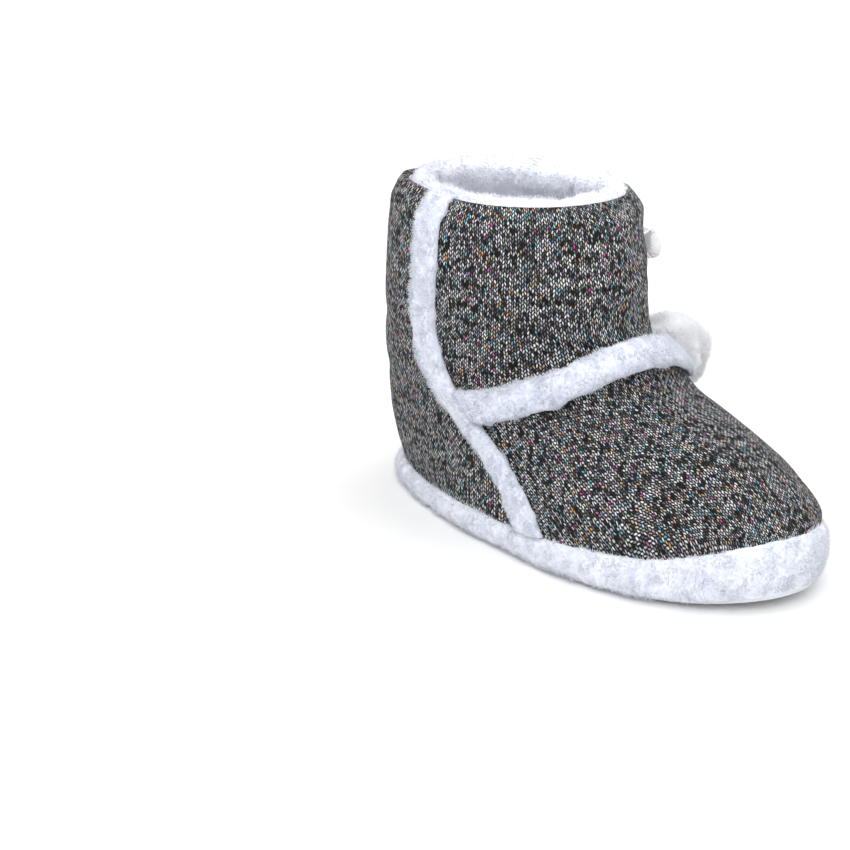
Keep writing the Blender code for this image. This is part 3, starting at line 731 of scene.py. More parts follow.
def vamp_relief(level, angle):
    """How far the vamp is drawn in below the instep strip, in metres."""
    above = (level - instep_level(angle)) / MM
    return -5.0 * MM * hump(above, -13.0, 12.0) * hump(np.degrees(np.abs(angle)), 0.0, 50.0, 4)


def corner_relief(level, angle):
    """How much fuller the upper corner of the back's inner side is, in metres."""
    return 3.0 * MM * ease(level, 138.0 * MM, 154.0 * MM) ** 2 * hump(np.degrees(angle), -120.0, 26.0, 4)


def sunken_wall(level, angle, out):
    """Point out from the knit where it is drawn in at the throat."""
    return wall_point(level, angle, out + throat_relief(level, angle))


def crease_relief(level, angle):
    """Soft troughs and ridges of the worn-in knit, in metres, added as bell curves.

    The shaft sags into a low roll above the instep strip, is drawn in along the strips,
    and has two slack folds at each side. The vamp has a shallow dent beside its ridge.
    """
    lift, turn = level / MM, np.degrees(np.abs(angle))
    side = np.where(angle > 0.0, 1.0, -1.0)
    above = (level - instep_level(angle)) / MM
    creases = 0.5 * hump(above, 18.0, 7.0) * hump(turn, 60.0, 22.0, 4)
    creases += (-0.9 * hump(above, 8.0, 4.5) - 0.8 * hump(above, -9.5, 4.0)) * (turn < 104.0)
    upper_fold = 128.0 - 0.28 * turn + 5.0 * np.sin(np.radians(turn * 3.1))
    creases += -0.9 * hump(lift, upper_fold, 5.0) * hump(turn, 38.0 + 6.0 * side, 26.0)
    lower_fold = 104.0 + 0.20 * turn + 3.0 * np.sin(np.radians(turn * 4.3 + 40.0 * side))
    on_shaft = ease(above, 4.0, 14.0) * (turn < 100.0)
    creases += -0.8 * hump(lift, lower_fold, 4.2) * hump(turn, 60.0, 18.0) * on_shaft
    creases += -3.0 * hump(lift, 138.0, 12.0) * hump(turn, 46.0, 30.0, 4)
    for amount, height, slope, width, place, spread in SOFT_FOLDS:
        creases += amount * hump(lift, height + slope * (turn - place), width) * hump(turn, place, spread)
    edge = ease(level, BASE_LEVEL, BASE_LEVEL + 6.0 * MM) * ease(level, TOP_LEVEL, TOP_LEVEL - 6.0 * MM)
    formed = (creases * MM + vamp_relief(level, angle) + throat_relief(level, angle)) * edge
    return formed + corner_relief(level, angle) + toe_relief(level, angle)


def cloth_coordinates(level, angle, points):
    """Place on the flat cloth in millimetres, X across the knit's columns and Y along them.

    On the shaft and the back the columns are upright: X is the way round the section at the ankle as far as
    the same bearing from its middle, and Y the way down from the collar. On the vamp they run to the toe: X is
    the straight distance from the ridge within one cross section, and Y the way along the ridge. Round the
    toe's front the fall from the ridge counts along the columns, and only partly across them.
    """
    x, y, z = points[..., 0], points[..., 1], points[..., 2]
    ring = upper_point(ANKLE_LEVEL, np.linspace(-math.pi, math.pi, 721))
    bearing = np.unwrap(np.arctan2(ring[:, 1], ring[:, 0] - ANKLE_AXIS))
    way_round = path_length(ring)
    around = np.interp(np.arctan2(y, x - ANKLE_AXIS), bearing, way_round - 0.5 * way_round[-1])
    step = np.linalg.norm(np.diff(points, axis=0), axis=-1)
    down = np.concatenate([np.cumsum(step[::-1], axis=0)[::-1], np.zeros((1, step.shape[1]))])
    shaft = np.stack([around, -down], axis=-1)
    ridge = upper_point(np.linspace(BASE_LEVEL + 16.0 * MM, 90.0 * MM, 200), 0.0)[::-1]
    ridge = np.concatenate([[ridge[0] + np.array((-60.0, 0.0, 36.0)) * MM], ridge])
    fall = np.interp(x, ridge[:, 0], ridge[:, 2]) - z
    ahead = unit(upper_normal(level, angle)[..., :2])[..., 0] ** 2 * ease(x, 0.17, 0.22)
    chord = np.hypot(y, fall * (1.0 - ahead)) + 0.6 * ease(x, 0.20, 0.24) * fall * (1.0 - ahead)
    along = np.interp(x, ridge[:, 0], path_length(ridge)) + fall * ahead
    vamp = np.stack([np.sign(y) * chord * 1.05, -along], axis=-1)
    turn = np.abs(signed_angle(angle))
    on_vamp = (level < instep_level(turn)) & (turn < strip_angle(level))
    return np.where(on_vamp[..., None], vamp, shaft) / MM, way_round[-1] / MM


def finish(piece, nodes):
    """Ride on the body and stand for the solid, whose part is hidden."""
    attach(piece, "root")
    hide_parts(*nodes)


def build_upper():
    """Knit shell: outer face with its creases, rounded rim, and a fleecy inner face down to the platform."""
    columns, rim_rows = 400, 6
    angles = round_angles(columns)
    signed = signed_angle(angles)
    levels = np.linspace(BASE_LEVEL, TOP_LEVEL, 130)
    level, angle = np.meshgrid(levels, angles, indexing="ij")
    outer = wall_point(level, angle, crease_relief(level, signed_angle(angle)))
    cloth, way_round = cloth_coordinates(level, angle, upper_point(level, angle))
    rise = unit(upper_slopes(np.full(columns, TOP_LEVEL), angles)[0])
    rim, rim_cloth = [], []
    for step in range(1, rim_rows + 1):
        turn = math.pi * step / (rim_rows + 1.0)
        out = corner_relief(TOP_LEVEL, signed) - WALL * (1.0 - math.cos(turn)) / 2.0
        rim.append(wall_point(TOP_LEVEL, angles, out) + rise * (RIM_RAISE + WALL * math.sin(turn) / 2.0))
        rim_cloth.append(cloth[-1] + np.array((0.0, (RIM_RAISE + turn * WALL / 2.0) / MM)))
    inner_levels = np.linspace(TOP_LEVEL, BASE_LEVEL, 62)
    level, angle = np.meshgrid(inner_levels, angles, indexing="ij")
    side = signed_angle(angle)
    relief = throat_relief(level, side) + vamp_relief(level, side) + toe_relief(level, side)
    inner = wall_point(level, angle, relief - WALL)
    plan = base_outline(-TOE_PULL * toe_share(signed) - WALL, angles)[0]
    inner[-1] = np.column_stack([plan, base_height(plan[:, 0])])
    shows = ease(inner_levels, BASE_LEVEL, BASE_LEVEL + 6.0 * MM) * (inner_levels < 128.0 * MM)
    pile_height = 2.2 * MM * shows[:, None]
    inner, inner_depth = fleece_relief(inner, -upper_normal(level, angle), pile_height, 6.0 * MM, 31)
    points = np.concatenate([outer, np.stack(rim), inner])
    faces = grid_faces(len(points), columns, True, True)
    outside = (len(levels) + rim_rows - 1) * columns
    pile = Pile()
    pile.add(points, [faces[:outside], faces[outside:]],
             np.concatenate([np.ones((len(levels) + rim_rows, columns)), inner_depth]), (0, 1))
    uv = np.concatenate([cloth, np.stack(rim_cloth), np.zeros((len(inner_levels), columns, 2))]).reshape(-1, 2)
    # The inner fleece is painted lighter, as painted light against the shade inside the boot.
    materials = [knit_material(), fleece_material("Inner fleece painted light", *INNER_FLEECE_PAINTED_LIGHT)]
    piece = pile.build("knit_boot", materials, uv, way_round)
    finish(piece, ["upper"])


def build_platform():
    """Platform: fleece wrapped round the edge, from the sole's recess up and over the knit's lower edge."""
    fleece = settings()[1]
    columns, profile_rows = 560, 30
    angles = round_angles(columns)
    toe = toe_share(signed_angle(angles))
    profile = np.array(FOXING_PROFILE)
    path = path_length(profile * np.array((1.0, 12.0)))
    share = np.linspace(0.0, path[-1], profile_rows)
    outset = (smooth_table(path, profile[:, 0], share) * MM)[:, None]
    lift = smooth_table(path, profile[:, 1], share)[:, None]
    pulled = np.maximum(outset - TOE_PULL * toe, -3.2 * MM - 4.0 * MM * (lift > 0.5))
    plan = base_outline(pulled, np.broadcast_to(angles, (profile_rows, columns)))[0]
    ground = ground_height(plan[..., 0])
    lip = TOE_LIP * toe * ease(outset, -1.2 * MM, 0.0)
    height = ground + lift * (base_height(plan[..., 0]) + lip - GAP - ground)
    body = np.concatenate([plan, height[..., None]], axis=-1)
    normals = -grid_normals(body, False, True)
    middle = np.array([body[..., 0].mean(), body[..., 1].mean(), 0.0])
    if np.mean(np.sum(normals[14] * (body[14] - middle), axis=-1)) < 0.0:
        normals = -normals
    fade = (ease(share, 0.0, 2.5) * ease(share, path[-1], path[-1] - 1.5))[:, None]
    wave = swell(body, 16.0 * MM, 5)
    moved, depth = fleece_relief(body, normals, fleece.clump_height * 1.15 * fade, fleece.clump_size, 3)
    moved = moved + normals * (0.7 * MM * wave * fade)[..., None]
    moved[..., 2] = np.maximum(moved[..., 2], ground_height(moved[..., 0]) + 0.25 * MM)
    plan = base_outline(np.full(columns, -(SOLE_INSET - GAP)), angles)[0]
    recess = np.column_stack([plan, ground_height(plan[:, 0]) + SOLE_THICKNESS + GAP])
    plan = base_outline(-TOE_PULL * toe - 2.0 * MM, angles)[0]
    top = np.column_stack([plan, base_height(plan[:, 0]) - GAP])
    points = np.concatenate([recess[None], moved, top[None]])
    # Painted shade: the recess under the sole and the row tucked under the knit take low depths, and so the
    # darker colour.
    depth = np.concatenate([np.full((1, columns), 0.2), depth, np.full((1, columns), 0.3)])
    last = (len(points) - 1) * columns
    pile = Pile()
    pile.add(points, [grid_faces(len(points), columns, False, True), ladder_faces(0, columns)[:, ::-1],
                      ladder_faces(last, columns)], depth)
    weight = fade * np.where(lift > 0.12, 1.0, 0.25) * np.ones((1, columns))
    roots, out = scatter(moved, normals, fleece.platform_strands, 17, weight)[:2]
    pull = pull_of(roots, fleece.clump_size, 3, 0.55) - np.array((0.0, 0.0, 0.12))
    strands(pile, roots - out * 0.4 * MM, out, pull, fleece.pile_length, fleece.strand_width, 18)
    for points in pile.points:
        points[:, 2] = np.maximum(points[:, 2], 0.2 * MM)
    finish(pile.build("platform_fleece", [fleece_material("Platform fleece")]), ["foxing"])


def over_rim(level, angle, out):
    """Point out from the knit. Past the top, a level's excess is the way up and then round the rim."""
    radius = 0.5 * WALL
    top = np.minimum(level, TOP_LEVEL)
    excess = np.maximum(level - TOP_LEVEL, 0.0)
    turn = np.maximum(excess - RIM_RAISE, 0.0) / radius
    normal = upper_normal(top, angle)
    rise = unit(upper_slopes(top, angle)[0])
    middle = upper_point(top, angle) - normal * radius + rise * np.minimum(excess, RIM_RAISE)[..., None]
    away = normal * np.cos(turn)[..., None] + rise * np.sin(turn)[..., None]
    round_rim = middle + away * (radius + out)[..., None]
    return np.where((level > TOP_LEVEL)[..., None], round_rim, wall_point(top, angle, out))


def strip_piece(name, node, levels, angles, out_scale, count, seed, place=wall_point, rest_on=None):
    """Fleece strip on the knit: a flat back and a full rounded front, with lumpy edges.

    levels and angles are grids with the strip's length down the rows and its width over the columns. place puts
    its front, and rest_on its back where that follows another surface.
    """
    fleece = settings()[1]
    rows, columns = levels.shape
    across = np.linspace(-1.0, 1.0, columns)
    crown = (1.0 - np.abs(across) ** 3.2) ** 0.55
    back = (rest_on or place)(levels, angles, np.full(levels.shape, GAP))
    front = place(levels, angles, GAP + (0.6 * MM + 2.9 * MM * crown) * out_scale[:, None])
    sideways = unit(np.gradient(front, axis=1))
    spread = np.sign(across) * np.abs(across) ** 3
    normals = unit(unit(front - back) + 1.1 * spread[None, :, None] * sideways)
    middle = front[:, columns // 2]
    edges = [swell(middle, 8.0 * MM, seed + i) + 0.5 * swell(middle, 3.5 * MM, seed + i + 1) for i in (0, 4)]
    lumps = np.where(across > 0.0, edges[0][:, None], edges[1][:, None]) * spread * 1.7 * MM
    front = front + sideways * lumps[..., None]
    height = fleece.clump_height * out_scale[:, None]
    moved, depth = fleece_relief(front, normals, height, fleece.clump_size, seed)
    under = back[:, ::-3]
    ring = np.concatenate([moved, under], axis=1)
    # Painted shade: the strip's back against the knit takes a low depth, and so the darker colour.
    depth = np.concatenate([depth, np.full(under.shape[:2], 0.2)], axis=1)
    faces = pole_faces(rows, ring.shape[1])
    if np.sum(np.cross(ring[0, 1] - ring[0, 0], ring[1, 0] - ring[0, 0]) * normals[0, 0]) < 0.0:
        faces = turned(faces)
    pile = Pile()
    pile.add(with_poles(ring), faces, np.concatenate([depth.reshape(-1), [0.6, 0.6]]))
    weight = 1.0 + 0.8 * np.abs(across) * np.ones((rows, 1))
    roots, out = scatter(moved, normals, count, seed + 2, weight)[:2]
    pull = pull_of(roots, fleece.clump_size, seed, 0.55)
    strands(pile, roots - out * 0.4 * MM, out, pull, fleece.pile_length * 0.85, fleece.strand_width, seed + 3)
    # Painted shade: the strips' fleece is coloured darker than the platform's, standing in for the shade the
    # strips are seen in.
    material = fleece_material(name.replace("_", " ") + " fleece", (0.62, 0.66, 0.77), (0.78, 0.81, 0.90))
    finish(pile.build(name, [material]), [node])


def build_side_strip(name, node, side, seed):
    """Fleece strip over a side seam, from the platform to the collar and a little over the rim."""
    rows, columns = 200, 22
    levels = np.linspace(BASE_LEVEL + 0.6 * MM, TOP_LEVEL + RIM_RAISE + 4.6 * MM, rows)
    middle = strip_angle(levels)
    turn = upper_slopes(np.minimum(levels, TOP_LEVEL), middle)[1]
    reach = 0.5 * side_width(levels) / np.linalg.norm(turn, axis=-1)
    angles = side * (middle[:, None] + np.linspace(-1.0, 1.0, columns) * reach[:, None])
    level = np.broadcast_to(levels[:, None], angles.shape)
    scale = 0.5 + 0.5 * ease(levels, levels[-1], levels[-1] - 14.0 * MM) ** 0.7
    strip_piece(name, node, level, angles, scale, settings()[1].strip_strands, seed, over_rim)


def build_instep_strip():
    """Fleece strip over the seam between vamp and shaft, from one side strip over the front to the other."""
    rows, columns = 300, 22
    across = np.linspace(-1.0, 1.0, columns)

    def reach_of(angle):
        level, turned_by = instep_level(angle), np.abs(angle)
        rise, turn = upper_slopes(level, turned_by)
        slope = (instep_level(turned_by + 0.01) - instep_level(np.maximum(turned_by - 0.01, 0.0))) / 0.02
        path = unit(turn + rise * slope[..., None])
        sine = np.linalg.norm(np.cross(unit(rise), path), axis=-1)
        return 0.5 * INSTEP_WIDTH * MM / (np.linalg.norm(rise, axis=-1) * sine)

    end = np.full(columns, math.radians(80.0))
    for _ in range(12):
        level = instep_level(end) + across * reach_of(end)
        turn = np.linalg.norm(upper_slopes(level, end)[1], axis=-1)
        end = strip_angle(level) - 0.5 * side_width(level) / turn
    angles = np.linspace(-1.0, 1.0, rows)[:, None] * end
    levels = instep_level(angles) + across * reach_of(angles)
    far = ease(np.degrees(angles[:, columns // 2]), 4.0, 38.0)
    out_scale = 1.0 - 0.4 * far * far * (3.0 - 2.0 * far)
    strip_piece("instep_strip", "instep_band", levels, angles, out_scale,
                settings()[1].instep_strands, 71, rest_on=sunken_wall)


def build_lining():
    """Rolled sherpa lining at the collar: a closed ring whose profile turns over the rim and down inside."""
    fleece = settings()[1]
    columns, rows = 420, 56
    angles = round_angles(columns)
    profile = np.array(LINING_PROFILE + LINING_PROFILE[:1])
    path = path_length(profile)
    share = np.linspace(0.0, path[-1], rows, endpoint=False)
    depth_in = np.interp(share, path, profile[:, 0])
    for _ in range(2):
        depth_in = 0.25 * np.roll(depth_in, 1) + 0.5 * depth_in + 0.25 * np.roll(depth_in, -1)
    depth_in = depth_in * MM
    lift = np.interp(share, path, profile[:, 1]) * MM
    top = np.full(columns, TOP_LEVEL)
    turn = upper_slopes(top, angles)[1]
    inward = unit(np.stack([-turn[:, 1], turn[:, 0], np.zeros(columns)], axis=-1))
    body = upper_point(top, angles)[None] + inward[None] * depth_in[:, None, None]
    body[..., 2] += lift[:, None] + RIM_RAISE
    against_wall = (depth_in < 4.9 * MM) & (lift < 0.5 * MM)
    level, angle = np.meshgrid(np.clip(TOP_LEVEL + lift, BASE_LEVEL, TOP_LEVEL), angles, indexing="ij")
    body = np.where(against_wall[:, None, None], wall_point(level, angle, -(WALL + GAP)), body)
    slide = wall_point(level, angle, -(WALL + 0.2 * MM + np.maximum(depth_in - 4.4 * MM, 0.0))[:, None])
    below = (lift < -3.0 * MM) & ~against_wall
    blend = ease(lift, -3.0 * MM, -12.0 * MM)[:, None, None]
    body = np.where(below[:, None, None], body * (1.0 - blend) + slide * blend, body)
    normals = grid_normals(body, True, True)
    if np.mean(np.sum(normals * (body - body.mean(axis=0, keepdims=True)), axis=-1)) < 0.0:
        normals = -normals
    seen = np.where(against_wall, 0.0, 1.0)
    seen = np.convolve(np.concatenate([seen[-1:], seen, seen[:1]]), (0.25, 0.5, 0.25), mode="valid")
    free = (seen * ease(depth_in, 4.5 * MM, 6.3 * MM))[:, None]
    moved, depth = fleece_relief(body, normals, fleece.clump_height * free, fleece.clump_size, 41)
    moved = moved + normals * (0.8 * MM * swell(body, 14.0 * MM, 45) * free)[..., None]
    faces = [grid_faces(rows, columns, True, True)]
    if np.dot(np.cross(moved[0, 1] - moved[0, 0], moved[1, 0] - moved[0, 0]), normals[0, 0]) < 0.0:
        faces = turned(faces)
    pile = Pile()
    pile.add(moved, faces, depth)
    weight = (seen * np.where(lift > -30.0 * MM, 1.0, 0.2))[:, None] * np.ones((1, columns))
    roots, out, row, column = scatter(moved, normals, fleece.collar_strands, 47, weight)
    near_wall = ease(depth_in[row], 8.0 * MM, 5.0 * MM)
    pull = pull_of(roots, fleece.clump_size, 41, 0.7)
    pull = pull + near_wall[:, None] * (0.35 * inward[column] + np.array((0.0, 0.0, 0.5)))
    length = fleece.pile_length * (1.05 - 0.1 * near_wall)
    strands(pile, roots - out * 0.4 * MM, out, pull, length, fleece.strand_width, 48)
    # The collar's colour for its creases is painted shade, lighter than the platform's.
    material = fleece_material("Collar fleece", (0.76, 0.785, 0.87), (0.84, 0.86, 0.935))
    finish(pile.build("collar_fleece", [material]), ["collar_lining"])


def shrunk(plan, shares):
    """Plans drawn in by shares to the line midway between the two sides of a plan."""
    middle = np.stack([plan[:, 0], 0.5 * (plan[:, 1] + plan[::-1, 1])], axis=-1)
    return plan[None] * (1.0 - shares[:, None, None]) + middle[None] * shares[:, None, None]


def build_footbed():
    """Fleece footbed: a plate whose upper face has the pile."""
    fleece = settings()[1]
    columns, rows = 240, 46
    plan = base_outline(np.full(columns, -(WALL + 0.6 * MM)), round_angles(columns))[0]
    shrink = np.linspace(0.0, 1.0, rows)
    grid = shrunk(plan, shrink)
    height = base_height(grid[..., 0]) + 2.7 * MM + 1.3 * MM * np.sqrt(ease(shrink, 0.0, 0.06))[:, None]
    top = np.concatenate([grid, height[..., None]], axis=-1)
    up = np.broadcast_to(np.array((0.0, 0.0, 1.0)), top.shape)
    moved, depth = fleece_relief(top, up, 1.6 * MM * ease(shrink, 0.0, 0.1)[:, None], 6.0 * MM, 51)
    moved[-1] = 0.5 * (moved[-1] + moved[-1, ::-1])
    half = columns // 2
    lower = np.column_stack([plan, base_height(plan[:, 0])])
    points = np.concatenate([lower[None], moved[:-1]]).reshape(-1, 3)
    # Painted shade: the footbed's lower edge takes a low depth, and so the darker colour.
    depth = np.concatenate([np.full((1, columns), 0.3), depth[:-1]]).reshape(-1)
    pile = Pile()
    pile.add(np.concatenate([points, moved[-1, :half]]), [
        grid_faces(rows, columns, False, True), *fold_shut(rows, columns), ladder_faces(0, columns)[:, ::-1],
    ], np.concatenate([depth, np.full(half, 0.6)]))
    roots, out = scatter(moved[4:-1], up[4:-1], fleece.footbed_strands, 57)[:2]
    pull = pull_of(roots, 6.0 * MM, 51, 0.55)
    strands(pile, roots - out * 0.3 * MM, out, pull, 2.4 * MM, fleece.strand_width, 58)
    # The footbed's fleece is painted lighter, as painted light against the shade inside the boot.
    finish(pile.build("footbed_fleece", [fleece_material("Footbed fleece painted light", *INNER_FLEECE_PAINTED_LIGHT)]), ["insole"])


def build_pompom():
    """Fluffy ball: a lumpy core and many fine strands from it, parted into locks."""
    trim = settings()[2]
    columns, rows = 72, 37
    lean = math.pi * (np.arange(rows) + 0.5) / rows
    lean, turn = np.meshgrid(lean, np.arange(columns) * 2.0 * math.pi / columns, indexing="ij")
    out = np.stack([np.sin(lean) * np.cos(turn), np.sin(lean) * np.sin(turn), np.cos(lean)], axis=-1)
    moved, depth = fleece_relief(POMPOM_CENTRE + out * trim.pompom_core, out, 2.0 * MM, 5.0 * MM, 61)
    pile = Pile()
    depth = np.concatenate([depth.reshape(-1), [0.5, 0.5]])
    pile.add(with_poles(moved), turned(pole_faces(rows, columns)), depth)
    direction = unit(np.random.default_rng(62).normal(size=(trim.pompom_strands, 3)))
    roots = POMPOM_CENTRE + direction * (trim.pompom_core - 1.0 * MM)
    pull = clumps(roots + direction * 4.0 * MM, 4.5 * MM, 63)[1] * 0.30
    strands(pile, roots, direction, pull, trim.pompom_pile, 0.42 * MM, 64, 0.34)
    # Whiter yarn, made lighter still as painted light that lifts the shade the pompom sits in.
    material = fleece_material("Pompom yarn", (0.90, 0.915, 0.96), (0.96, 0.97, 1.0))
    finish(pile.build("pompom_yarn", [material]), ["pompom"])


def ribbon_loop(direction, lift, climb_up, end_arc, middle):
    """Grids of one ribbon loop: its path round two arcs, thickened to both sides.

    The loop is widest at its end, where its edges draw in to a round bow front. climb_up is how much higher its
    end stands than the knot.
    """
    knot_arc, arc_start, length, half_thick = 1.0 * MM, 2.4 * MM, 30.0 * MM, 0.16 * MM
    span = length - end_arc - arc_start
    reach = 0.5 * math.pi + math.asin((end_arc - knot_arc) / span)
    end_turn = np.linspace(-reach, reach, 22)
    knot_turn = np.linspace(reach, 2.0 * math.pi - reach, 12)
    far = np.column_stack([np.cos(end_turn), np.sin(end_turn)]) * end_arc
    near = np.column_stack([np.cos(knot_turn), np.sin(knot_turn)]) * knot_arc
    far[:, 0] += arc_start + span
    near[:, 0] += arc_start
    share = (np.arange(1, 16) / 16.0)[:, None]
    there, back = far[-1] + (near[0] - far[-1]) * share, near[-1] + (far[0] - near[-1]) * share
    path = np.concatenate([far, there, near, back])
    along = np.roll(path, -1, axis=0) - np.roll(path, 1, axis=0)
    outward = unit(np.column_stack([along[:, 1], -along[:, 0]]))
    grow = ease(path[:, 0], 0.0, length)[:, None]
    half = 0.5 * (7.0 * MM + 6.5 * MM * np.sin(0.5 * math.pi * grow) ** 0.8)
    turn_length = np.linalg.norm(upper_slopes(np.array(BOW_LEVEL), np.array(BOW_ANGLE))[1])
    width = np.linspace(-1.0, 1.0, 13)
    pinch = 1.0 - 0.8 * grow * width**2
    level = BOW_LEVEL + climb_up * grow + width * half
    faces = []
    for side in (1.0, -1.0):
        place = path + outward * (side * half_thick)
        climb = ease(place[:, 0, None], 3.0 * MM, 9.0 * MM)
        out = middle * (0.6 + 0.4 * pinch) + place[:, 1, None] * pinch + lift * climb**2 * (3.0 - 2.0 * climb)
        angle = BOW_ANGLE - direction * place[:, 0, None] * (1.0 - 0.42 * grow * width**2) / turn_length
        faces.append(wall_point(level, angle, out + half_thick * np.sin(9.0 * width) * grow))
    return faces, width


def build_bow():
    """Sheer ribbon bow: two loops of thin cloth and a gathered knot."""
    pile = Pile()
    uv = []
    for direction, lift, climb_up in ((1.0, -0.5 * MM, 3.2 * MM), (-1.0, 6.0 * MM, -2.0 * MM)):
        (outer, inner), width = ribbon_loop(direction, lift, climb_up, 2.6 * MM, GAP + 2.6 * MM)
        shell = np.concatenate([outer, inner[:, ::-1]], axis=1)
        faces = grid_faces(*shell.shape[:2], True, True)
        pile.add(shell, [faces[:, ::-1] if direction > 0 else faces], 0.5)
        along = np.linspace(0.0, 1.0, len(shell))
        uv.append(np.stack(np.meshgrid(np.concatenate([width, width[::-1]]), along), axis=-1).reshape(-1, 2))
    rows, columns = 23, 40
    lean = math.pi * (np.arange(rows) + 0.5) / rows
    lean, turn = np.meshgrid(lean, round_angles(columns), indexing="ij")
    pleat = np.sin(lean) * (1.0 + 0.07 * np.cos(7.0 * turn) * np.sin(lean))
    heading = upper_slopes(np.array(BOW_LEVEL), np.array(BOW_ANGLE))[1]
    along = unit(np.array((heading[0], heading[1], 0.0)))
    axes = np.array((along * 4.3, (along[1] * 3.1, -along[0] * 3.1, 0.0), (0.0, 0.0, 4.9))) * MM
    ball = np.stack([pleat * np.cos(turn), pleat * np.sin(turn), np.cos(lean)], axis=-1) @ axes
    knot = with_poles(ball + wall_point(BOW_LEVEL, BOW_ANGLE, GAP + 2.8 * MM))
    pile.add(knot, pole_faces(rows, columns), 0.5)
    uv.append(np.column_stack([np.zeros(len(knot)), np.linspace(0.0, 1.0, len(knot))]))
    finish(pile.build("ribbon_bow", [ribbon_material()], np.concatenate(uv)), ["bow"])


def ribbon_material():
    """Sheer white ribbon: see-through between fine threads, with denser rings and woven edges."""
    colour = tuple(settings()[2].ribbon_colour)
    material, n, shader = new_material("Sheer ribbon", colour, 0.4, 0.3)
    x = n.parts(n.node("ShaderNodeUVMap", uv_map="cloth").outputs["UV"])[0]
    across = n.math("ABSOLUTE", x)
    threads = n.math("SINE", n.math("MULTIPLY", x, 104.0))
    rings = n.step(n.math("SINE", n.math("MULTIPLY", across, 30.0)), 0.3, 1.0, 0.0, 0.5)
    dense = n.math("MAXIMUM", n.step(across, 0.84, 0.93), rings)
    alpha = n.math("MULTIPLY", n.math("MAXIMUM", dense, n.step(threads, -1.0, 1.0, 0.26, 0.46)), 0.8)
    n.put(alpha, shader["Alpha"])
    n.put(n.mix(n.step(across, 0.45, 0.85), tuple(0.94 * c for c in colour), colour), shader["Base Color"])
    n.bump(threads, 0.3, 0.2, shader)
    return material


def dot_places(field, pitch, radius, outline, half):
    """Centres of the dots of a staggered lattice that lie in a field of the sole."""
    row_step = pitch / math.sqrt(2.0)
    start, end = field
    order = np.argsort(outline[:half, 0])
    xs = outline[:half, 0][order]
    lateral = outline[:half, 1][order]
    medial = outline[half:, 1][::-1][order]
    row = np.arange(int((end - start) / row_step) + 1)
    column = np.arange(-6, 7)
    row, column = np.meshgrid(row, column, indexing="ij")
    x = start + row_step * (row + 0.5)
    y = (column + np.where(row % 2 == 1, 0.5, 0.0)) * 2.0 * row_step
    left, right = np.interp(x, xs, lateral), np.interp(x, xs, medial)
    inside = (x <= end - radius) & (y < left - 0.3 * radius) & (y > right + 0.3 * radius)
    return np.column_stack([x[inside], y[inside]])


def build_sole():
    """Moulded sole: ribbed border, recessed fields with round dots and a smooth panel at the waist."""
    sole = bpy.context.scene.bootie_sole
    columns, floor_rows, edge = 400, 14, 0.8 * MM
    angles = round_angles(columns)
    ribs = np.linspace(0.0, RIM_WIDTH - edge, 56)
    wave = 0.5 - 0.5 * np.cos(2.0 * math.pi * ribs / sole.rib_pitch)
    inner = -(SOLE_INSET + RIM_WIDTH)
    outset = np.concatenate([-SOLE_INSET - np.array((0.0, 0.0, 0.25, 0.8)) * MM, -(SOLE_INSET + edge + ribs),
                             (inner, inner - 0.4 * MM)])
    rib_lift = 0.28 * MM * wave * ease(ribs, 0.0, 1.0 * MM)
    lift = np.concatenate([(SOLE_THICKNESS, edge, 0.25 * MM, 0.0), rib_lift, (0.4 * MM, FIELD_DEPTH)])
    plan = base_outline(outset[:, None], np.broadcast_to(angles, (len(outset), columns)))[0]
    body = np.concatenate([plan, (ground_height(plan[..., 0]) + lift[:, None])[..., None]], axis=-1)
    fill = shrunk(plan[-1], np.linspace(0.0, 1.0, floor_rows + 1)[1:])
    start, end = WAIST_PANEL
    panel = ease(fill[..., 0], start, start + edge) * ease(fill[..., 0], end, end - edge)
    depth = FIELD_DEPTH - (FIELD_DEPTH - 0.4 * MM) * panel
    fill = np.concatenate([fill, (ground_height(fill[..., 0]) + depth)[..., None]], axis=-1)
    rows, half = len(outset) + floor_rows - 1, columns // 2
    points = np.concatenate([body, fill[:-1]]).reshape(-1, 3)
    pile = Pile()
    faces = [grid_faces(rows, columns, False, True), *fold_shut(rows, columns)]
    faces.append(ladder_faces(0, columns)[:, ::-1])
    pile.add(np.concatenate([points, fill[-1, :half]]), turned(faces), 0.5)
    outline = base_outline(np.full(columns, inner), angles)[0]
    fields = (outline[:, 0].min(), start), (end, outline[:, 0].max())
    places = np.concatenate([
        dot_places(field, sole.dot_pitch, sole.dot_radius, outline, half) for field in fields])
    ring = 14
    turn = np.arange(ring) * 2.0 * math.pi / ring
    radius = sole.dot_radius * np.array((1.0, 0.97, 0.86, 0.62, 0.32))[:, None]
    back = FIELD_DEPTH + 0.3 * MM
    height = np.array((back, 0.75 * MM, 0.35 * MM, 0.14 * MM, 0.08 * MM))[:, None]
    dome = np.stack([radius * np.cos(turn), radius * np.sin(turn), height + 0.0 * turn], axis=-1)
    dome = np.concatenate([dome.reshape(-1, 3), [[0.0, 0.0, back], [0.0, 0.0, 0.06 * MM]]])
    offset = (np.arange(len(places)) * len(dome))[:, None, None]
    shift = np.column_stack([places, ground_height(places[:, 0])])
    faces = [(group + offset).reshape(-1, group.shape[1]) for group in turned(pole_faces(5, ring))]
    pile.add(dome[None] + shift[:, None], faces, 0.5)
    finish(pile.build("moulded_sole", [sole_material()]), ["outsole"])


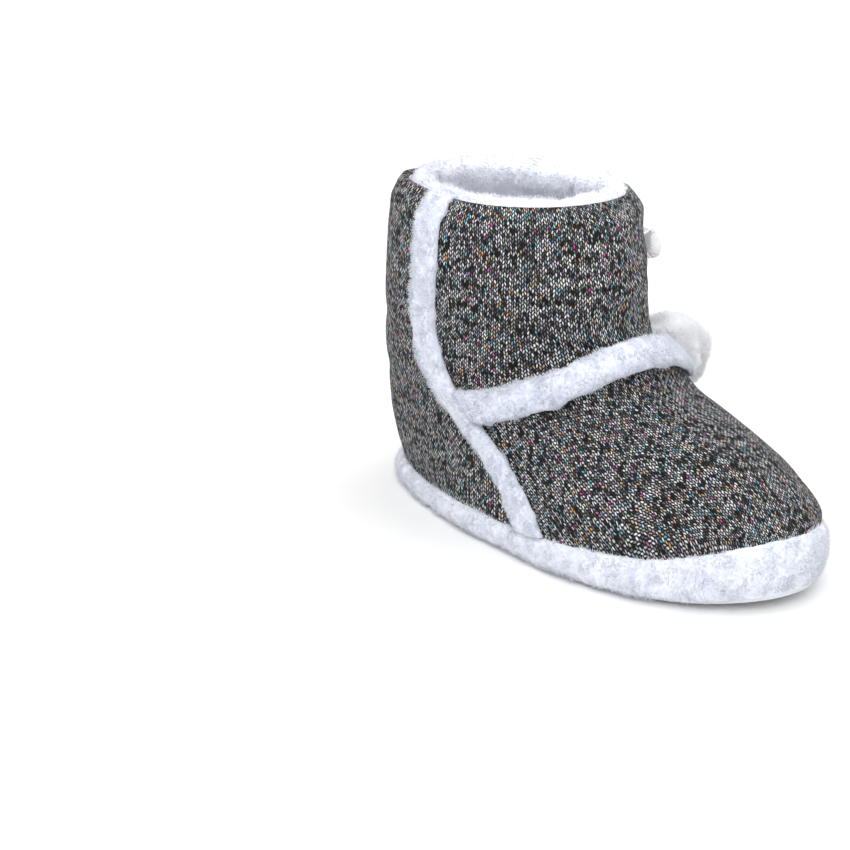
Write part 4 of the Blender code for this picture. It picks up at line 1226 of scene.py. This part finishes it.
def sole_material():
    """Off-white moulded sheet, matte, with a fine grain."""
    colour = tuple(bpy.context.scene.bootie_sole.colour)
    material, n, shader = new_material("Moulded sole", colour, 0.55)
    place = n.node("ShaderNodeTexCoord").outputs["Object"]
    grain = n.noise(place, 1400.0, 2.0)
    mottle = n.step(n.noise(place, 60.0, 3.0), 0.3, 0.7)
    n.put(n.mix(mottle, tuple(0.94 * c for c in colour), colour), shader["Base Color"])
    n.put(n.step(grain, 0.3, 0.7, 0.48, 0.64), shader["Roughness"])
    n.bump(grain, 0.25, 0.15, shader)
    return material


def stand(piece, right, up, back, place):
    """Set an object at a place, with the directions of its three axes."""
    rows = [[*row, along] for row, along in zip(np.column_stack([right, up, back]), place)]
    piece.matrix_world = Matrix(rows + [[0.0, 0.0, 0.0, 1.0]])


def add_light(name, kind, place, target, power):
    """Light that looks at a point. Returns its settings."""
    data = bpy.data.lights.new(name, kind)
    data.energy = power
    away = unit(np.array(place, float) - np.array(target, float))
    side = unit(np.cross((0.0, 0.0, 1.0), away))
    stand(link(name, data), side, np.cross(away, side), away, place)
    return data


def build_floor(colour):
    """Pale round floor: rings that spread from the opening under the sole to a circle."""
    columns, rows, reach, middle = 96, 25, 4.0, 0.105
    angles = round_angles(columns)
    opening = base_outline(np.full(columns, -(SOLE_INSET + 2.6 * MM)), angles)[0]
    opening[:, 0] = np.minimum(opening[:, 0], 0.204)
    edge = np.column_stack([middle + reach * np.cos(angles), reach * np.sin(angles)])
    share = (np.linspace(0.0, 1.0, rows) ** 1.6)[:, None, None]
    plan = opening[None] * (1.0 - share) + edge[None] * share
    pile = Pile()
    pile.add(np.concatenate([plan, np.zeros((rows, columns, 1))], axis=-1),
             turned([grid_faces(rows, columns, False, True)]), 0.5)
    material, n, shader = new_material("Pale floor", colour, 0.9, specular=0.0)
    mottle = n.noise(n.node("ShaderNodeTexCoord").outputs["Object"], 40.0)
    n.put(n.mix(mottle, colour, tuple(0.985 * c for c in colour)), shader["Base Color"])
    seen_from_below = n.node("ShaderNodeNewGeometry").outputs["Backfacing"]
    nodes = material.node_tree.nodes
    surface = n.node("ShaderNodeMixShader", seen_from_below, nodes["Principled BSDF"].outputs[0],
                     n.node("ShaderNodeBsdfTransparent").outputs[0])
    n.put(surface.outputs[0], nodes["Material Output"].inputs["Surface"])
    floor = pile.build("studio_floor", [material])


def build_world(strength):
    """Soft light from all round, which the camera sees as plain white."""
    world = bpy.data.worlds.new("Studio")
    world.use_nodes = True
    n = Nodes(world.node_tree)
    white = (1.0, 1.0, 1.0, 1.0)
    lit = world.node_tree.nodes["Background"]
    n.put(white, lit.inputs["Color"])
    n.put(strength, lit.inputs["Strength"])
    seen = n.node("ShaderNodeBackground", white)
    by_camera = n.node("ShaderNodeLightPath").outputs["Is Camera Ray"]
    choice = n.node("ShaderNodeMixShader", by_camera, lit.outputs[0], seen.outputs[0])
    n.put(choice.outputs[0], world.node_tree.nodes["World Output"].inputs["Surface"])
    bpy.context.scene.world = world


def build_stage():
    """Pale round floor, soft lights and the camera at the photograph's angle.

    The floor is open under the sole and clear from below, so that the sole is lit and can be looked at.
    """
    stage = bpy.context.scene.bootie_stage
    build_floor(tuple(stage.floor_colour))
    build_world(stage.world_light)
    bpy.context.scene.view_settings.view_transform = "Standard"
    target = (0.12, 0.0, 0.08)
    add_light("key", "AREA", (1.15, -0.75, 1.05), target, stage.key_light).size = 0.9
    add_light("fill", "AREA", (0.1, -1.5, 0.7), target, stage.fill_light).size = 1.2
    above = bpy.data.lights.new("above", "SUN")
    above.energy, above.angle = stage.top_light, math.radians(70.0)
    link("above", above)
    add_light("far side", "AREA", (0.7, 1.3, 0.9), target, stage.fill_light).size = 1.2
    spot = add_light("inside", "SPOT", (0.50, -0.42, 0.80), (0.055, 0.040, 0.135), stage.inside_light)
    spot.spot_size, spot.spot_blend, spot.shadow_soft_size = math.radians(11.0), 1.0, 0.05
    psi, tilt = math.radians(stage.camera_turn), math.radians(stage.camera_tilt)
    data = bpy.data.cameras.new("photo camera")
    data.sensor_width, data.lens = 36.0, stage.lens
    data.clip_start, data.clip_end = 0.05, 20.0
    camera = link("photo camera", data)
    stand(camera, (math.cos(psi), math.sin(psi), 0.0),
          (-math.sin(psi) * math.sin(tilt), math.cos(psi) * math.sin(tilt), math.cos(tilt)),
          (math.sin(psi) * math.cos(tilt), -math.cos(psi) * math.cos(tilt), math.sin(tilt)),
          tuple(stage.camera_place))
    bpy.context.scene.camera = camera


class BootieKnit(bpy.types.PropertyGroup):
    """Sizes of the knit."""

    column: FloatProperty(name="Column", description="Distance between two columns of stitch legs",
                          default=1.2 * MM, min=0.5 * MM, max=5.0 * MM, unit="LENGTH")
    row: FloatProperty(name="Row", description="Length of one stitch leg", default=2.1 * MM, min=0.5 * MM,
                       max=8.0 * MM, unit="LENGTH")


class BootieFleece(bpy.types.PropertyGroup):
    """Sizes of the fleece."""

    clump_size: FloatProperty(name="Clump size", description="Distance between clumps of pile",
                              default=7.0 * MM, min=1.0 * MM, max=30.0 * MM, unit="LENGTH")
    clump_height: FloatProperty(name="Clump height", description="How far a clump stands out",
                                default=1.5 * MM, min=0.0, max=6.0 * MM, unit="LENGTH")
    pile_length: FloatProperty(name="Pile length", description="Length of a strand of pile", default=3.0 * MM,
                               min=0.5 * MM, max=10.0 * MM, unit="LENGTH")
    strand_width: FloatProperty(name="Strand width", description="Width of a strand at its root",
                                default=0.3 * MM, min=0.05 * MM, max=1.0 * MM, unit="LENGTH")
    platform_strands: IntProperty(name="Platform strands", description="Strands round the platform",
                                  default=33500, min=0, max=42000)
    collar_strands: IntProperty(name="Collar strands", description="Strands on the collar's lining",
                                default=31000, min=0, max=40000)
    strip_strands: IntProperty(name="Side strip strands", description="Strands on each side strip",
                               default=13000, min=0, max=40000)
    instep_strands: IntProperty(name="Instep strip strands", description="Strands on the instep strip",
                                default=17500, min=0, max=40000)
    footbed_strands: IntProperty(name="Footbed strands", description="Strands on the footbed", default=7000,
                                 min=0, max=40000)


class BootieTrim(bpy.types.PropertyGroup):
    """Sizes and colour of the pompom and the bow."""

    pompom_core: FloatProperty(name="Pompom core", description="Radius of the pompom's dense core",
                               default=16.6 * MM, min=5.0 * MM, max=30.0 * MM, unit="LENGTH")
    pompom_pile: FloatProperty(name="Pompom pile", description="Length of the pompom's strands",
                               default=6.6 * MM, min=1.0 * MM, max=15.0 * MM, unit="LENGTH")
    pompom_strands: IntProperty(name="Pompom strands", description="Strands of the pompom",
                                default=31000, min=0, max=45000)
    ribbon_colour: FloatVectorProperty(name="Ribbon colour", description="Colour of the sheer ribbon",
                                       default=(0.88, 0.89, 0.92), min=0.0, max=1.0, size=3, subtype="COLOR")


class BootieSole(bpy.types.PropertyGroup):
    """Sizes and colour of the sole."""

    dot_radius: FloatProperty(name="Dot radius", description="Radius of a round dot", default=3.9 * MM,
                              min=1.0 * MM, max=8.0 * MM, unit="LENGTH")
    dot_pitch: FloatProperty(name="Dot pitch", description="Distance between neighbouring dots",
                             default=10.2 * MM, min=3.0 * MM, max=30.0 * MM, unit="LENGTH")
    rib_pitch: FloatProperty(name="Rib pitch", description="Distance between the border's ribs",
                             default=1.45 * MM, min=0.5 * MM, max=5.0 * MM, unit="LENGTH")
    colour: FloatVectorProperty(name="Colour", description="Colour of the sole",
                                default=(0.76, 0.77, 0.80), min=0.0, max=1.0, size=3, subtype="COLOR")


class BootieStage(bpy.types.PropertyGroup):
    """The studio: floor, lights and camera."""

    floor_colour: FloatVectorProperty(name="Floor colour", description="Colour of the floor",
                                      default=(0.93, 0.93, 0.93), min=0.0, max=1.0, size=3, subtype="COLOR")
    world_light: FloatProperty(name="World light", description="Strength of the light from all round",
                               default=0.74, min=0.0, max=10.0)
    key_light: FloatProperty(name="Key light", description="Power of the main light", default=8.0, min=0.0,
                             unit="POWER")
    fill_light: FloatProperty(name="Fill light", description="Power of the light from the boot's inner side",
                              default=2.5, min=0.0, unit="POWER")
    top_light: FloatProperty(name="Top light",
                             description="Strength of the light from above, in watts a square metre",
                             default=1.15, min=0.0)
    inside_light: FloatProperty(name="Inside light", description="Power of the narrow light into the boot",
                                default=14.0, min=0.0, unit="POWER")
    camera_turn: FloatProperty(name="Camera turn", description="Turn of the camera round the boot, in degrees",
                               default=52.0)
    camera_tilt: FloatProperty(name="Camera tilt", description="Downward tilt of the camera, in degrees",
                               default=17.0)
    camera_place: FloatVectorProperty(name="Camera place", description="Where the camera stands",
                                      default=(0.8144, -0.6409, 0.3388), size=3, subtype="TRANSLATION")
    lens: FloatProperty(name="Lens", description="Focal length in millimetres", default=88.3, min=10.0,
                        max=400.0)


class BOOTIE_OT_knit(bpy.types.Operator):
    """Build the knit boot with its fleecy inside"""

    bl_idname = "bootie.knit"
    bl_label = "Knit boot"

    def execute(self, context):
        build_upper()
        return {"FINISHED"}


class BOOTIE_OT_platform(bpy.types.Operator):
    """Build the platform wrapped in fleece"""

    bl_idname = "bootie.platform"
    bl_label = "Platform fleece"

    def execute(self, context):
        build_platform()
        return {"FINISHED"}


class BOOTIE_OT_strips(bpy.types.Operator):
    """Build the fleece strips over the seams"""

    bl_idname = "bootie.strips"
    bl_label = "Seam strips"

    def execute(self, context):
        build_side_strip("side_strip_medial", "side_band_medial", -1.0, 81)
        build_side_strip("side_strip_lateral", "side_band_lateral", 1.0, 91)
        build_instep_strip()
        return {"FINISHED"}


class BOOTIE_OT_lining(bpy.types.Operator):
    """Build the collar's lining and the footbed"""

    bl_idname = "bootie.lining"
    bl_label = "Lining and footbed"

    def execute(self, context):
        build_lining()
        build_footbed()
        return {"FINISHED"}


class BOOTIE_OT_pompom(bpy.types.Operator):
    """Build the fluffy pompom"""

    bl_idname = "bootie.pompom"
    bl_label = "Pompom"

    def execute(self, context):
        build_pompom()
        return {"FINISHED"}


class BOOTIE_OT_bow(bpy.types.Operator):
    """Build the sheer ribbon bow"""

    bl_idname = "bootie.bow"
    bl_label = "Ribbon bow"

    def execute(self, context):
        build_bow()
        return {"FINISHED"}


class BOOTIE_OT_sole(bpy.types.Operator):
    """Build the dotted sole"""

    bl_idname = "bootie.sole"
    bl_label = "Moulded sole"

    def execute(self, context):
        build_sole()
        return {"FINISHED"}


class BOOTIE_OT_stage(bpy.types.Operator):
    """Set up the floor, the lights and the camera"""

    bl_idname = "bootie.stage"
    bl_label = "Studio"

    def execute(self, context):
        build_stage()
        return {"FINISHED"}


OPERATORS = (
    BOOTIE_OT_knit, BOOTIE_OT_platform, BOOTIE_OT_strips, BOOTIE_OT_lining, BOOTIE_OT_pompom, BOOTIE_OT_bow,
    BOOTIE_OT_sole, BOOTIE_OT_stage,
)
GROUPS = (
    ("bootie_knit", BootieKnit), ("bootie_fleece", BootieFleece), ("bootie_trim", BootieTrim),
    ("bootie_sole", BootieSole), ("bootie_stage", BootieStage),
)


class BOOTIE_PT_panel(bpy.types.Panel):
    """Sizes, colours and build buttons"""

    bl_idname = "BOOTIE_PT_panel"
    bl_label = "Bootie slipper"
    bl_space_type = "VIEW_3D"
    bl_region_type = "UI"
    bl_category = "Bootie"

    def draw(self, context):
        for operator in OPERATORS:
            self.layout.operator(operator.bl_idname)
        for name, group in GROUPS:
            box = self.layout.box()
            for item in group.__annotations__:
                box.prop(getattr(context.scene, name), item)


def register():
    for name, group in GROUPS:
        bpy.utils.register_class(group)
        setattr(bpy.types.Scene, name, PointerProperty(type=group))
    for item in (*OPERATORS, BOOTIE_PT_panel):
        bpy.utils.register_class(item)


def unregister():
    for item in reversed((*OPERATORS, BOOTIE_PT_panel)):
        bpy.utils.unregister_class(item)
    for name, group in reversed(GROUPS):
        delattr(bpy.types.Scene, name)
        bpy.utils.unregister_class(group)


def main():
    """Build every piece in order."""
    register()
    bpy.ops.bootie.stage()
    bpy.ops.bootie.sole()
    bpy.ops.bootie.platform()
    bpy.ops.bootie.knit()
    bpy.ops.bootie.strips()
    bpy.ops.bootie.lining()
    bpy.ops.bootie.pompom()
    bpy.ops.bootie.bow()


if __name__ == "__main__":
    main()
